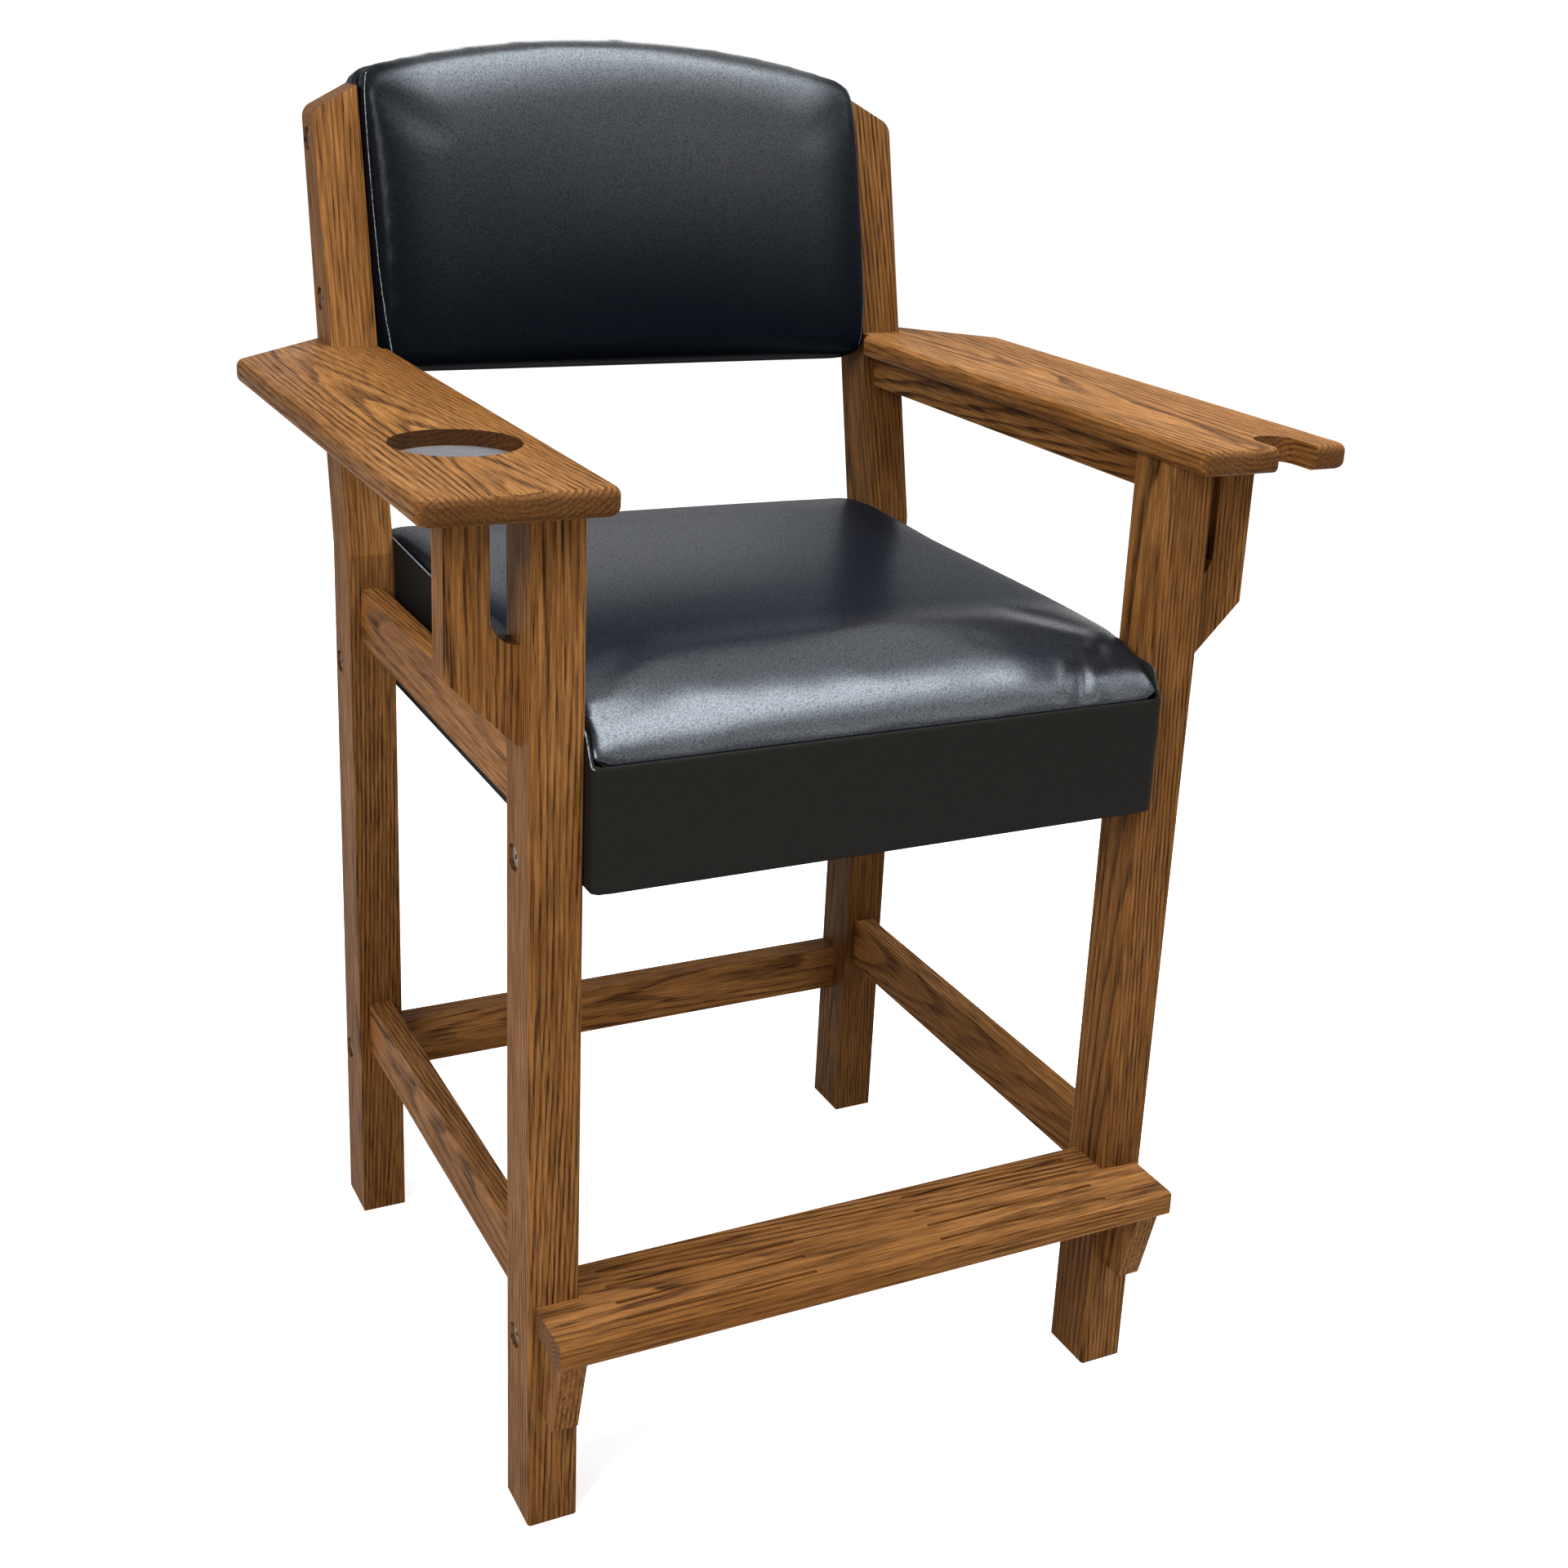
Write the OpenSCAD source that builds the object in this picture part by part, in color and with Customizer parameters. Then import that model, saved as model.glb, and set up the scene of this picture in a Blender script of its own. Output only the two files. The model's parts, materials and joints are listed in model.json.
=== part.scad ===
// Spectator chair: a tall bolted wooden armchair with a boxed vinyl seat and an arched back pad.
// The floor is z = 0, the front faces -Y and the origin is under the middle of the outer box.
// Inside the modules y is measured from the front face of the front legs.

/* [Frame] */
// Width across the outer faces of the legs
frame_w = 620; // [560:1:680]
// Width of every leg seen from the front
leg_w = 44.5; // [40:0.5:52]
// Depth of the front legs
leg_d = 58; // [52:1:66]
// Depth of the back posts up to the bend, measured level
post_d = 58; // [54:1:66]
// Depth of the back posts at the arms
post_mid_d = 54; // [52:1:56]
// Depth of the back posts at the top
post_top_d = 42; // [40:1:48]
// Front face of the back posts at the floor
foot_y = 538; // [480:1:580]
// Front face of the back posts at the bend
knee_y = 532; // [475:1:575]
// Height of the bend in the back posts
knee_z = 735; // [715:1:760]
// Lean of the posts above the bend
rake = 12.7; // [8:0.1:15]
// Height of the posts at their inner corner
post_h = 1170; // [1130:1:1200]
// Fall of the post tops towards the outside
post_drop = 24; // [10:1:36]
// Rounding of the outer top corner of the posts
post_corner_r = 15; // [4:1:16]
// Rounding of the long edges of the front legs
leg_edge_r = 3; // [1:0.5:6]

/* [Rails] */
// Thickness of the side rails
rail_t = 22; // [18:0.5:26]
// Height of the side rails and side stretchers
rail_h = 55; // [44:1:62]
// Underside of the side rails at the seat
side_rail_z = 646; // [640:1:675]
// Underside of the low side stretchers
side_stretcher_z = 194; // [188:1:240]
// Height of the rails under the arms
arm_rail_h = 33; // [28:1:44]
// Thickness of the back stretcher
back_stretcher_t = 27; // [24:0.5:30]
// Height of the back stretcher
back_stretcher_h = 52; // [44:1:60]
// Underside of the back stretcher
back_stretcher_z = 152; // [110:1:230]

/* [Arms] */
// Height of the underside of the arms
arm_z = 909; // [890:1:925]
// Thickness of the arm boards
arm_t = 22; // [20:0.5:26]
// Reach of the arms inside the legs
arm_in = 8.5; // [5:0.5:12]
// Reach of the arms outside the legs
arm_out = 100; // [88:1:115]
// Reach of the arms in front of the legs
arm_front = 55; // [40:1:65]
// Rounding of the upper and lower arm edges
arm_edge_r = 7; // [4:0.5:9.5]
// Rounding of the arm corners seen from above
arm_corner_r = 14; // [10:1:20]
// Radius of the cup recess
cup_r = 52; // [42:0.5:54]
// Depth of the cup recess
cup_depth = 14.5; // [8:0.5:16]
// Middle of the cup recess behind the front of the legs
cup_y = 124; // [110:1:180]
// Middle of the cup recess from the outer edge of the arm
cup_out = 82; // [76:1:88]
// Thickness of the liner in the cup recess
liner_t = 1.5; // [1:0.1:3]
// How far the wall of the recess overhangs the pocket of its liner
liner_step = 1; // [0.5:0.5:3]
// Width of the cue notch
notch_w = 41; // [30:1:44]
// Depth of the cue notch
notch_depth = 50; // [36:1:60]
// Middle of the cue notch from the outer edge of the arm
notch_out = 58; // [44:1:70]

/* [Cue brackets] */
// Thickness of the bracket boards
bracket_t = 28; // [22:1:32]
// Set-back of the bracket from the front of the leg
bracket_set = 22; // [14:1:24]
// Reach of the bracket outside the leg
bracket_w = 60; // [50:1:70]
// Length of the straight outer edge
bracket_straight = 136; // [110:1:150]
// Fall of the slanted lower edge
bracket_slant = 58; // [50:1:62]
// Width of the cue slot
slot_w = 24; // [16:1:28]
// Depth of the cue slot under the arm
slot_depth = 113; // [80:1:120]

/* [Footrest] */
// Height of the footrest's top
footrest_z = 221; // [200:1:270]
// Thickness of the plank
footrest_t = 24; // [20:1:30]
// Rounding of the plank's front edges
footrest_r = 4; // [2:0.5:8]
// Reach in front of the legs
footrest_front = 61; // [52:1:80]
// Reach behind the front of the legs
footrest_back = 45; // [40:1:54]
// Set-in of the plank's ends from the outer faces of the legs
footrest_inset = 6; // [0:1:12]
// Thickness of the rail under the plank
footrest_rail_t = 26; // [25:1:28]
// Height of the rail under the plank
footrest_rail_h = 50; // [42:1:56]
// Reach of the rail behind the plank
footrest_rail_out = 5.5; // [3:0.5:8]
// Width of the grooves
groove_w = 4; // [3:0.5:7]
// Depth of the grooves
groove_depth = 2.5; // [1.5:0.5:4]
// Length of the grooves
groove_len = 178; // [120:1:190]
// Distance between groove rows
groove_pitch = 24.5; // [20:0.5:26]
// Number of groove rows
groove_rows = 4; // [3:1:4]
// First groove row from the back edge
groove_first = 15; // [10:1:18]
// Inner end of the grooves from the middle
groove_gap = 62; // [40:1:70]
// Width of the brackets under the plank
corbel_w = 23; // [18:1:34]
// Depth of the brackets at the top
corbel_top = 51; // [40:1:52]
// Depth of the brackets at the bottom
corbel_bottom = 29; // [16:1:36]
// Height of the brackets
corbel_h = 81; // [60:1:100]

/* [Seat] */
// Underside of the seat box
seat_z = 598; // [585:1:606]
// Reach of the seat in front of the legs
seat_front = 18; // [10:1:30]
// Set-in of the seat from the back faces of the posts
seat_back_in = 1.5; // [1:0.5:8]
// Height of the seat's side seams at the front
seat_edge_z = 733; // [722:1:740]
// Rise of the side seams towards the back
seat_rise = 14; // [0:1:20]
// Crown of the seat above its seams
seat_crown = 19; // [8:1:28]
// Radius of the roll at the front edge
seat_front_r = 30; // [16:1:34]
// Swell of the front roll over the front panel
seat_swell = 20; // [8:1:26]
// Radius of the side and back edges
seat_side_r = 9; // [5:0.5:11]
// Rounding of the upright corners
seat_corner_r = 14; // [13:1:20]
// Thickness of the vinyl cover
cover_t = 2; // [1.5:0.1:2.5]
// Thickness of the seat box boards
board_t = 20; // [16:1:22]
// Height of the seat box boards
board_h = 88; // [76:1:92]
// Thickness of the plywood deck
deck_t = 12; // [9:1:15]
// Length of the corner blocks along the sides
block_len = 56; // [52:1:70]
// Width of the corner blocks
block_w = 44; // [36:1:56]
// Height of the corner blocks
block_h = 60; // [50:1:70]
// Thickness of the dust cover under the seat
dust_t = 1; // [0.8:0.1:2]

/* [Back pad] */
// Height of the pad at its sides
pad_h = 291; // [270:1:300]
// Reach of the pad's sides above the posts
pad_over = 22; // [10:1:30]
// Radius of the arched top
pad_arch_r = 990; // [800:10:1400]
// Reach of the pad's edge in front of the posts
pad_proud = 16; // [10:1:26]
// Room that the arms leave in front of the pad's corners
pad_relief = 1.5; // [0.5:0.5:4]
// Crown of the pad's front face
pad_crown = 20; // [8:1:28]
// Reach of the pad behind the front of the posts
pad_rear = 51; // [48:1:52]
// Radius of the pad's front edge
pad_edge_r = 12; // [6:1:13]
// Rounding of the pad's corners seen from the front
pad_corner_r = 18; // [17:1:30]
// Thickness of the board inside the pad
core_t = 24; // [24:1:26]
// Front of the board inside the pad behind the posts' front
core_in = 18; // [14:0.5:18]
// Thickness of the closing panel at the rear
rear_panel_t = 4; // [3:0.5:5]

/* [Fasteners] */
// Diameter of the connector bolts
bolt_d = 6; // [5:0.5:7]
// Length of the bolts under the head
bolt_len = 76; // [74:1:80]
// Diameter of the bolt heads
head_d = 19; // [15:0.5:20]
// Thickness of the bolt heads
head_t = 3.5; // [2:0.5:4.5]
// Diameter of the head recesses
recess_d = 22.5; // [21:0.5:23]
// Depth of the head recesses
recess_depth = 6; // [5.5:0.5:8]
// Diameter of the barrel nuts
nut_d = 10; // [9:0.5:12]
// Length of the barrel nuts
nut_len = 18; // [14:1:18]
// Barrel nuts from the inner faces of the legs
nut_in = 32; // [30:0.5:34]
// Height of the seat bolts above the underside of the box
seat_bolt_up = 17; // [15:0.5:20]
// Front seat bolts behind the front of the legs
seat_bolt_y = 40; // [32:1:42]
// Bolts at the back, in front of the posts' back faces
back_bolt_in = 13; // [12.5:0.5:15]
// Lower pad bolts above the lower edge of the pad
pad_bolt_up = 72; // [60:1:90]
// Upper pad bolts below the upper edge of the pad's sides
pad_bolt_down = 68; // [56:1:90]
// Diameter of the dowels
dowel_d = 8; // [6:0.5:9]
// Length of the dowels
dowel_len = 36; // [30:1:38]
// Diameter of the wood screws
screw_d = 4; // [3.5:0.5:5]
// Length of the wood screws
screw_len = 40; // [34:1:42]

/* [Hidden] */
$fn = 48;

wood = [0.50, 0.32, 0.18];
wood_inside = [0.72, 0.58, 0.40];
vinyl = [0.07, 0.07, 0.08];
foam = [0.85, 0.80, 0.62];
steel = [0.45, 0.42, 0.38];
felt = [0.36, 0.35, 0.36];
dowel_wood = [0.80, 0.70, 0.52];

// Clearance that lets pieces go together, that of round holes, and the overshoot of a cutting shape
fit = 0.3;
hole_fit = 0.2;
cut = 1;

side_x = frame_w / 2;
leg_x = side_x - leg_w;
rail_x = side_x - leg_w / 2;

// Front face of a back post at a height
function post_front(z) = z < knee_z
    ? foot_y + (knee_y - foot_y) * z / knee_z
    : knee_y + (z - knee_z) * tan(rake);
// The back face runs closer to the front face above the bend
function post_back(z) = post_front(z)
    + lookup(z, [[knee_z, post_d], [arm_z + arm_t, post_mid_d], [post_h, post_top_d]]);

// Heights and places that several pieces share
footrest_under = footrest_z - footrest_t;
footrest_rail_y = footrest_back + footrest_rail_out - footrest_rail_t;
footrest_bolt_y = footrest_rail_y + footrest_rail_t / 2;
footrest_bolt_z = footrest_under - footrest_rail_h / 2;
back_stretcher_mid = back_stretcher_z + back_stretcher_h / 2;
back_stretcher_y = post_back(back_stretcher_z + back_stretcher_h) - back_stretcher_t;
seat_bolt_z = seat_z + seat_bolt_up;
deck_z = seat_z + board_h;
foam_z = deck_z + deck_t;
core_mid = core_in + core_t / 2;
box_x = leg_x - fit - cover_t - fit;
box_front = -seat_front + cover_t + fit;
seat_back_y = post_back(seat_z) - seat_back_in;
box_back = seat_back_y - cover_t - fit;
pad_x = leg_x - fit;
dowel_hole = dowel_d + hole_fit;
bolt_hole = bolt_d + 2 * fit;
bolt_tip_x = side_x - recess_depth - bolt_len;

// The arched outline of the pad along the posts above the bend, and the rear rim of its cover
pad_top = (post_h - knee_z) / cos(rake) + pad_over;
pad_low = pad_top - pad_h;
pad_bolts = [pad_low + pad_bolt_up, pad_top - pad_bolt_down];
pad_corner_x = pad_x - pad_corner_r;
pad_arch_tilt = asin(pad_corner_x / (pad_arch_r - pad_corner_r));
pad_arch_c = pad_top - pad_corner_r - (pad_arch_r - pad_corner_r) * cos(pad_arch_tilt);
pad_mid = (pad_low + pad_top) / 2 + pad_crown * 0.4;
rim_in = 1.2;
rim_d = 5;

// The crest of the pad's rear rim reaches furthest back
back_reach = knee_y + pad_rear * cos(rake) + (pad_arch_c + pad_arch_r - rim_in) * sin(rake);
origin_y = (footrest_front - back_reach) / 2;

module placed() translate([0, origin_y, 0]) children();

// The right half is drawn and mirrored for the left; side is 1 or -1
module on_side(side) placed() mirror([side < 0 ? 1 : 0, 0, 0]) children();

// An outline in (y, z) made as thick as it goes from x0 to x1
module along_x(x0, x1) translate([x0, 0, 0]) rotate([90, 0, 90]) linear_extrude(x1 - x0) children();

// An outline in (x, z) made as thick as it goes from y0 to y1
module along_y(y0, y1) translate([0, y1, 0]) rotate([90, 0, 0]) linear_extrude(y1 - y0) children();

// The frame of the leaning posts: x across, y square to their front face, z along them
module on_post() translate([0, knee_y, knee_z]) rotate([-rake, 0, 0]) children();

module x_hole(x0, x1, y, z, d) translate([x0, y, z]) rotate([0, 90, 0]) cylinder(h = x1 - x0, d = d);
module y_hole(x, y0, y1, z, d) translate([x, y0, z]) rotate([-90, 0, 0]) cylinder(h = y1 - y0, d = d);
module z_hole(x, y, z0, z1, d) translate([x, y, z0]) cylinder(h = z1 - z0, d = d);

module rounded_rect(w, d, r) {
    translate([r, 0]) square([w - 2 * r, d]);
    translate([0, r]) square([w, d - 2 * r]);
    for (x = [r, w - r], y = [r, d - r]) translate([x, y]) circle(r);
}

// Bolt hole through a leg with the recess for the head on the outside
module bolt_bore() {
    x_hole(leg_x - cut, side_x + cut, 0, 0, bolt_hole);
    x_hole(side_x - recess_depth, side_x + cut, 0, 0, recess_d);
}

// Places of the bolts on one side, each in the frame that its nut sits in
module at_front_bolts() {
    translate([0, seat_bolt_y, seat_bolt_z]) children();
    translate([0, footrest_bolt_y, footrest_bolt_z]) children();
}
module at_back_bolts() {
    translate([0, post_back(seat_bolt_z) - back_bolt_in, seat_bolt_z]) children();
    translate([0, back_stretcher_y + back_stretcher_t / 2, back_stretcher_mid]) children();
    at_pad_bolts() children();
}
module at_pad_bolts() for (w = pad_bolts)
    on_post() translate([0, core_mid, w]) children();

// Heights of the two dowels in a rail's end
dowel_at = 0.27;
function dowel_heights(z, h) = [z + h * dowel_at, z + h * (1 - dowel_at)];
rail_dowels = concat(dowel_heights(side_rail_z, rail_h), dowel_heights(side_stretcher_z, rail_h),
                     dowel_heights(arm_z - arm_rail_h, arm_rail_h));
bracket_z = arm_z - bracket_straight;
bracket_dowels = [bracket_z - bracket_slant * 0.58, bracket_z];
bracket_dowel_y = bracket_set + bracket_t / 2;
corbel_dowel_z = footrest_under - corbel_h * 0.6;
arm_dowel_z = arm_z + arm_t * 0.7 - dowel_len / 2;

// One dowel, or with more given its hole, centred on the joint
module dowel(more)
    cylinder(h = dowel_len + (more ? 2 * cut : 0), d = more ? dowel_hole : dowel_d, center = true);

module front_leg_dowels(more) {
    for (z = rail_dowels) translate([rail_x, leg_d, z]) rotate([90, 0, 0]) dowel(more);
    for (z = bracket_dowels) translate([side_x, bracket_dowel_y, z]) rotate([0, 90, 0]) dowel(more);
    translate([rail_x, 0, corbel_dowel_z]) rotate([90, 0, 0]) dowel(more);
    translate([rail_x, leg_d / 2, arm_dowel_z]) dowel(more);
}
module post_dowels(more)
    for (z = rail_dowels) translate([rail_x, post_front(z), z]) rotate([90, 0, 0]) dowel(more);

// Side frames

module front_leg(side) color(wood) on_side(side) difference() {
    translate([leg_x, 0, 0]) linear_extrude(arm_z) rounded_rect(leg_w, leg_d, leg_edge_r);
    at_front_bolts() bolt_bore();
    front_leg_dowels(true);
}

module post_profile() polygon([[foot_y, 0], [knee_y, knee_z], [post_front(post_h), post_h],
    [post_back(post_h), post_h], [post_back(arm_z + arm_t), arm_z + arm_t],
    [knee_y + post_d, knee_z], [foot_y + post_d, 0]]);

// The top falls towards the outside and has one rounded corner
module post_front_outline() offset(r = post_corner_r) offset(delta = -post_corner_r)
    polygon([[leg_x - leg_w, -leg_w], [side_x, -leg_w], [side_x, post_h - post_drop],
        [leg_x, post_h], [leg_x - leg_w, post_h + post_drop]]);

module back_post(side) color(wood) on_side(side) difference() {
    intersection() {
        along_x(leg_x, side_x) post_profile();
        along_y(0, back_reach + cut) post_front_outline();
    }
    at_back_bolts() bolt_bore();
    post_dowels(true);
}

// A rail from the front leg to the post, cut to the post's slope
module rail(z, h) difference() {
    along_x(rail_x - rail_t / 2, rail_x + rail_t / 2)
        polygon([[leg_d, z], [post_front(z), z], [post_front(z + h), z + h], [leg_d, z + h]]);
    front_leg_dowels(true);
    post_dowels(true);
}

module side_rail(side) color(wood) on_side(side) rail(side_rail_z, rail_h);
module side_stretcher(side) color(wood) on_side(side) rail(side_stretcher_z, rail_h);

// Screws through the rail under the arm, behind the cup recess
arm_rail_z = arm_z - arm_rail_h;
arm_screw_in = 40;
arm_screw_from = cup_y + cup_r + arm_screw_in;
arm_screw_step = (post_front(arm_rail_z) - arm_screw_in - arm_screw_from) / 2;
arm_screw_z = arm_z + arm_t * 0.6 - screw_len;
screw_head_d = screw_d * 2;
screw_head_t = screw_d * 0.6;
module at_arm_screws() for (i = [0 : 2])
    translate([rail_x, arm_screw_from + i * arm_screw_step, arm_screw_z]) children();

module arm_rail(side) color(wood) on_side(side) difference() {
    rail(arm_rail_z, arm_rail_h);
    at_arm_screws() screw_bore(arm_screw_z - arm_rail_z);
}

// Arms

// How far the middle of a rounded 45 degree corner lies back, in radii
half_turn = tan(22.5);
arm_x0 = leg_x - arm_in;
arm_x1 = side_x + arm_out;
arm_back = post_back(arm_z + arm_t);

// A round block with rounded upper and lower edges
module arm_corner() rotate_extrude($fn = 32) {
    square([arm_corner_r - arm_edge_r, arm_t]);
    translate([0, arm_edge_r]) square([arm_corner_r, arm_t - 2 * arm_edge_r]);
    for (z = [arm_edge_r, arm_t - arm_edge_r]) intersection() {
        translate([arm_corner_r - arm_edge_r, z]) circle(arm_edge_r);
        square([arm_corner_r, arm_t]);
    }
}

// The board runs on past the post at 45 degrees and is cut round the post
// Everything at the arm's height behind the post's front face, or behind a line that far ahead of it
module behind_post_front(ahead) {
    low = arm_z - arm_t;
    high = arm_z + 2 * arm_t;
    polygon([[post_front(low) - ahead, low], [post_front(high) - ahead, high],
        [arm_back + 2 * leg_w, high], [arm_back + 2 * leg_w, low]]);
}

module arm_board() difference() {
    translate([0, 0, arm_z]) hull() {
        for (p = [[arm_x0, -arm_front, 1, 1], [arm_x1, -arm_front, -1, 1],
                  [arm_x1, arm_back - arm_out, -1, -half_turn],
                  [side_x - leg_w, arm_back + leg_w, half_turn, -1], [arm_x0, arm_back + leg_w, 1, -1]])
            translate([p[0] + p[2] * arm_corner_r, p[1] + p[3] * arm_corner_r, 0]) arm_corner();
    }
    along_x(arm_x0 - cut, side_x) behind_post_front(0);
    along_x(arm_x0 - cut, leg_x) behind_post_front((pad_proud + pad_relief) / cos(rake));
    front_leg_dowels(true);
    at_arm_screws() screw_bore(0);
}

cup_x = arm_x1 - cup_out;
cup_floor = arm_z + arm_t - cup_depth;
liner_r = cup_r - liner_step;
module arm_left() color(wood) on_side(-1) difference() {
    arm_board();
    z_hole(cup_x, cup_y, cup_floor + liner_t, arm_z + arm_t + cut, 2 * cup_r, $fn = 96);
    z_hole(cup_x, cup_y, cup_floor, cup_floor + liner_t + cut, 2 * liner_r, $fn = 96);
}
module cup_liner() color(felt) on_side(-1)
    z_hole(cup_x, cup_y, cup_floor, cup_floor + liner_t, 2 * (liner_r - fit), $fn = 96);

notch_x = arm_x1 - notch_out;
notch_y = notch_depth - arm_front - notch_w / 2;
module arm_right() color(wood) on_side(1) difference() {
    arm_board();
    z_hole(notch_x, notch_y, arm_z - cut, arm_z + arm_t + cut, notch_w);
    translate([notch_x - notch_w / 2, -arm_front - cut, arm_z - cut])
        cube([notch_w, notch_y + arm_front + cut, arm_t + 2 * cut]);
}

// Cue brackets

bracket_x = side_x + bracket_w;
bracket_toe = 3;
module cue_bracket(side) color(wood) on_side(side) difference() {
    along_y(bracket_set, bracket_set + bracket_t) difference() {
        polygon([[side_x, bracket_z - bracket_slant], [side_x + bracket_toe, bracket_z - bracket_slant],
            [bracket_x, bracket_z], [bracket_x, arm_z], [side_x, arm_z]]);
        // The slot ends in a quarter round that leads down to the leg
        translate([side_x - cut, arm_z - slot_depth + slot_w]) square([slot_w + cut, slot_depth]);
        translate([side_x, arm_z - slot_depth + slot_w]) circle(slot_w, $fn = 96);
    }
    front_leg_dowels(true);
}

// Cross pieces

module nut_hole_back(y1) {
    // A blind hole from the back face for a barrel nut lying across the bolt
    translate([leg_x - nut_in, 0, 0]) y_hole(0, -nut_len / 2 - fit, y1, 0, nut_d + hole_fit);
    x_hole(bolt_tip_x - cut, leg_x + cut, 0, 0, bolt_hole);
}

module back_stretcher() color(wood) placed() difference() {
    translate([-leg_x, back_stretcher_y, back_stretcher_z])
        cube([2 * leg_x, back_stretcher_t, back_stretcher_h]);
    for (s = [0, 1]) mirror([s, 0, 0])
        translate([0, back_stretcher_y + back_stretcher_t / 2, back_stretcher_mid])
            nut_hole_back(back_stretcher_t);
}

footrest_x = side_x - footrest_inset;
foot_screw_step = leg_x * 0.72;
foot_screw_z = footrest_under + footrest_t / 2 - screw_len;
module at_foot_screws() for (i = [-1 : 1])
    translate([i * foot_screw_step, footrest_bolt_y, foot_screw_z]) children();

module groove(y) {
    x0 = groove_gap + groove_w / 2;
    x1 = groove_gap + groove_len - groove_w / 2;
    translate([x0, y - groove_w / 2, footrest_z - groove_depth])
        cube([x1 - x0, groove_w, groove_depth + cut]);
    for (x = [x0, x1]) z_hole(x, y, footrest_z - groove_depth, footrest_z + cut, groove_w);
}

module footrest_plank() color(wood) placed() difference() {
    union() {
        along_x(-footrest_x, footrest_x) translate([-footrest_front, footrest_under]) {
            rounded_rect(footrest_front / 2, footrest_t, footrest_r);
            translate([footrest_r, 0]) square([footrest_front - footrest_r, footrest_t]);
        }
        translate([-leg_x, -cut, footrest_under]) cube([2 * leg_x, footrest_back + cut, footrest_t]);
    }
    for (s = [0, 1], row = [0 : groove_rows - 1]) mirror([s, 0, 0])
        groove(footrest_back - groove_first - row * groove_pitch);
    at_foot_screws() screw_bore(0);
}

module footrest_rail() color(wood) placed() difference() {
    translate([-leg_x, footrest_rail_y, footrest_under - footrest_rail_h])
        cube([2 * leg_x, footrest_rail_t, footrest_rail_h]);
    for (s = [0, 1]) mirror([s, 0, 0]) translate([0, footrest_bolt_y, footrest_bolt_z])
        nut_hole_back(footrest_rail_t);
    at_foot_screws() screw_bore(foot_screw_z - footrest_under + footrest_rail_h);
}

module footrest_bracket(side) color(wood) on_side(side) difference() {
    along_x(rail_x - corbel_w / 2, rail_x + corbel_w / 2)
        polygon([[0, footrest_under], [-corbel_top, footrest_under],
            [-corbel_bottom, footrest_under - corbel_h], [0, footrest_under - corbel_h]]);
    front_leg_dowels(true);
}

// Seat box

// Its plan, with corners as round as the cover's
module box_plan() {
    inner_x = box_x - seat_corner_r;
    translate([-inner_x, box_front]) square([2 * inner_x, box_back - box_front]);
    translate([-box_x, box_front + seat_corner_r])
        square([2 * box_x, box_back - box_front - 2 * seat_corner_r]);
    for (x = [-inner_x, inner_x], y = [box_front + seat_corner_r, box_back - seat_corner_r])
        translate([x, y]) circle(r = seat_corner_r);
}
module box_slab(z, t) translate([0, 0, z]) linear_extrude(t) box_plan();

module seat_front_board() color(wood_inside) placed()
    translate([-box_x + board_t, box_front, seat_z]) cube([2 * (box_x - board_t), board_t, board_h]);

module seat_back_board() color(wood_inside) placed() difference() {
    translate([-box_x + board_t, box_back - board_t, seat_z]) cube([2 * (box_x - board_t), board_t, board_h]);
    for (s = [0, 1]) mirror([s, 0, 0]) translate([0, post_back(seat_bolt_z) - back_bolt_in, seat_bolt_z])
        nut_hole_below();
}

// A blind hole from below for an upright barrel nut, and the hole of its bolt
module nut_hole_below() {
    z_hole(leg_x - nut_in, 0, -seat_bolt_up - cut, nut_len / 2 + fit, nut_d + hole_fit);
    x_hole(bolt_tip_x - cut, leg_x + cut, 0, 0, bolt_hole);
}

module seat_side_board(side) color(wood_inside) on_side(side) difference() {
    intersection() {
        translate([box_x - board_t, box_front, seat_z]) cube([board_t, box_back - box_front, board_h]);
        box_slab(seat_z, board_h);
    }
    for (y = [seat_bolt_y, post_back(seat_bolt_z) - back_bolt_in])
        x_hole(leg_x - nut_in, leg_x + cut, y, seat_bolt_z, bolt_hole);
}

module seat_corner_blocks() color(wood_inside) for (side = [-1, 1]) on_side(side) {
    difference() {
        translate([box_x - board_t - block_w, box_front + board_t, seat_z])
            cube([block_w, block_len, block_h]);
        translate([0, seat_bolt_y, seat_bolt_z]) nut_hole_below();
    }
    translate([box_x - board_t - block_w, box_back - board_t - block_len, seat_z + board_h - block_h])
        cube([block_w, block_len, block_h]);
}

module seat_deck() color(wood_inside) placed() box_slab(deck_z, deck_t);

module seat_dust_cover() color(vinyl) placed() box_slab(seat_z - dust_t, dust_t);

// Upholstery. Each form is a stack of rings that share one count of points.
// A ring has ring_arc points round each corner and ring_side points along each side.

// The roll at the front edge fades out over roll_reach radii.

ring_arc = 4;
ring_side = 8;
roll_reach = 2.2;
ring_n = 4 * (ring_arc + ring_side);

function mix(a, b, t) = a + (b - a) * t;
function arc_points(c, r, a0, a1) = [for (i = [0 : ring_arc - 1])
    c + r * [cos(mix(a0, a1, i / (ring_arc - 1))), sin(mix(a0, a1, i / (ring_arc - 1)))]];
function side_points(p, q) = [for (i = [1 : ring_side]) mix(p, q, i / (ring_side + 1))];

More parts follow.
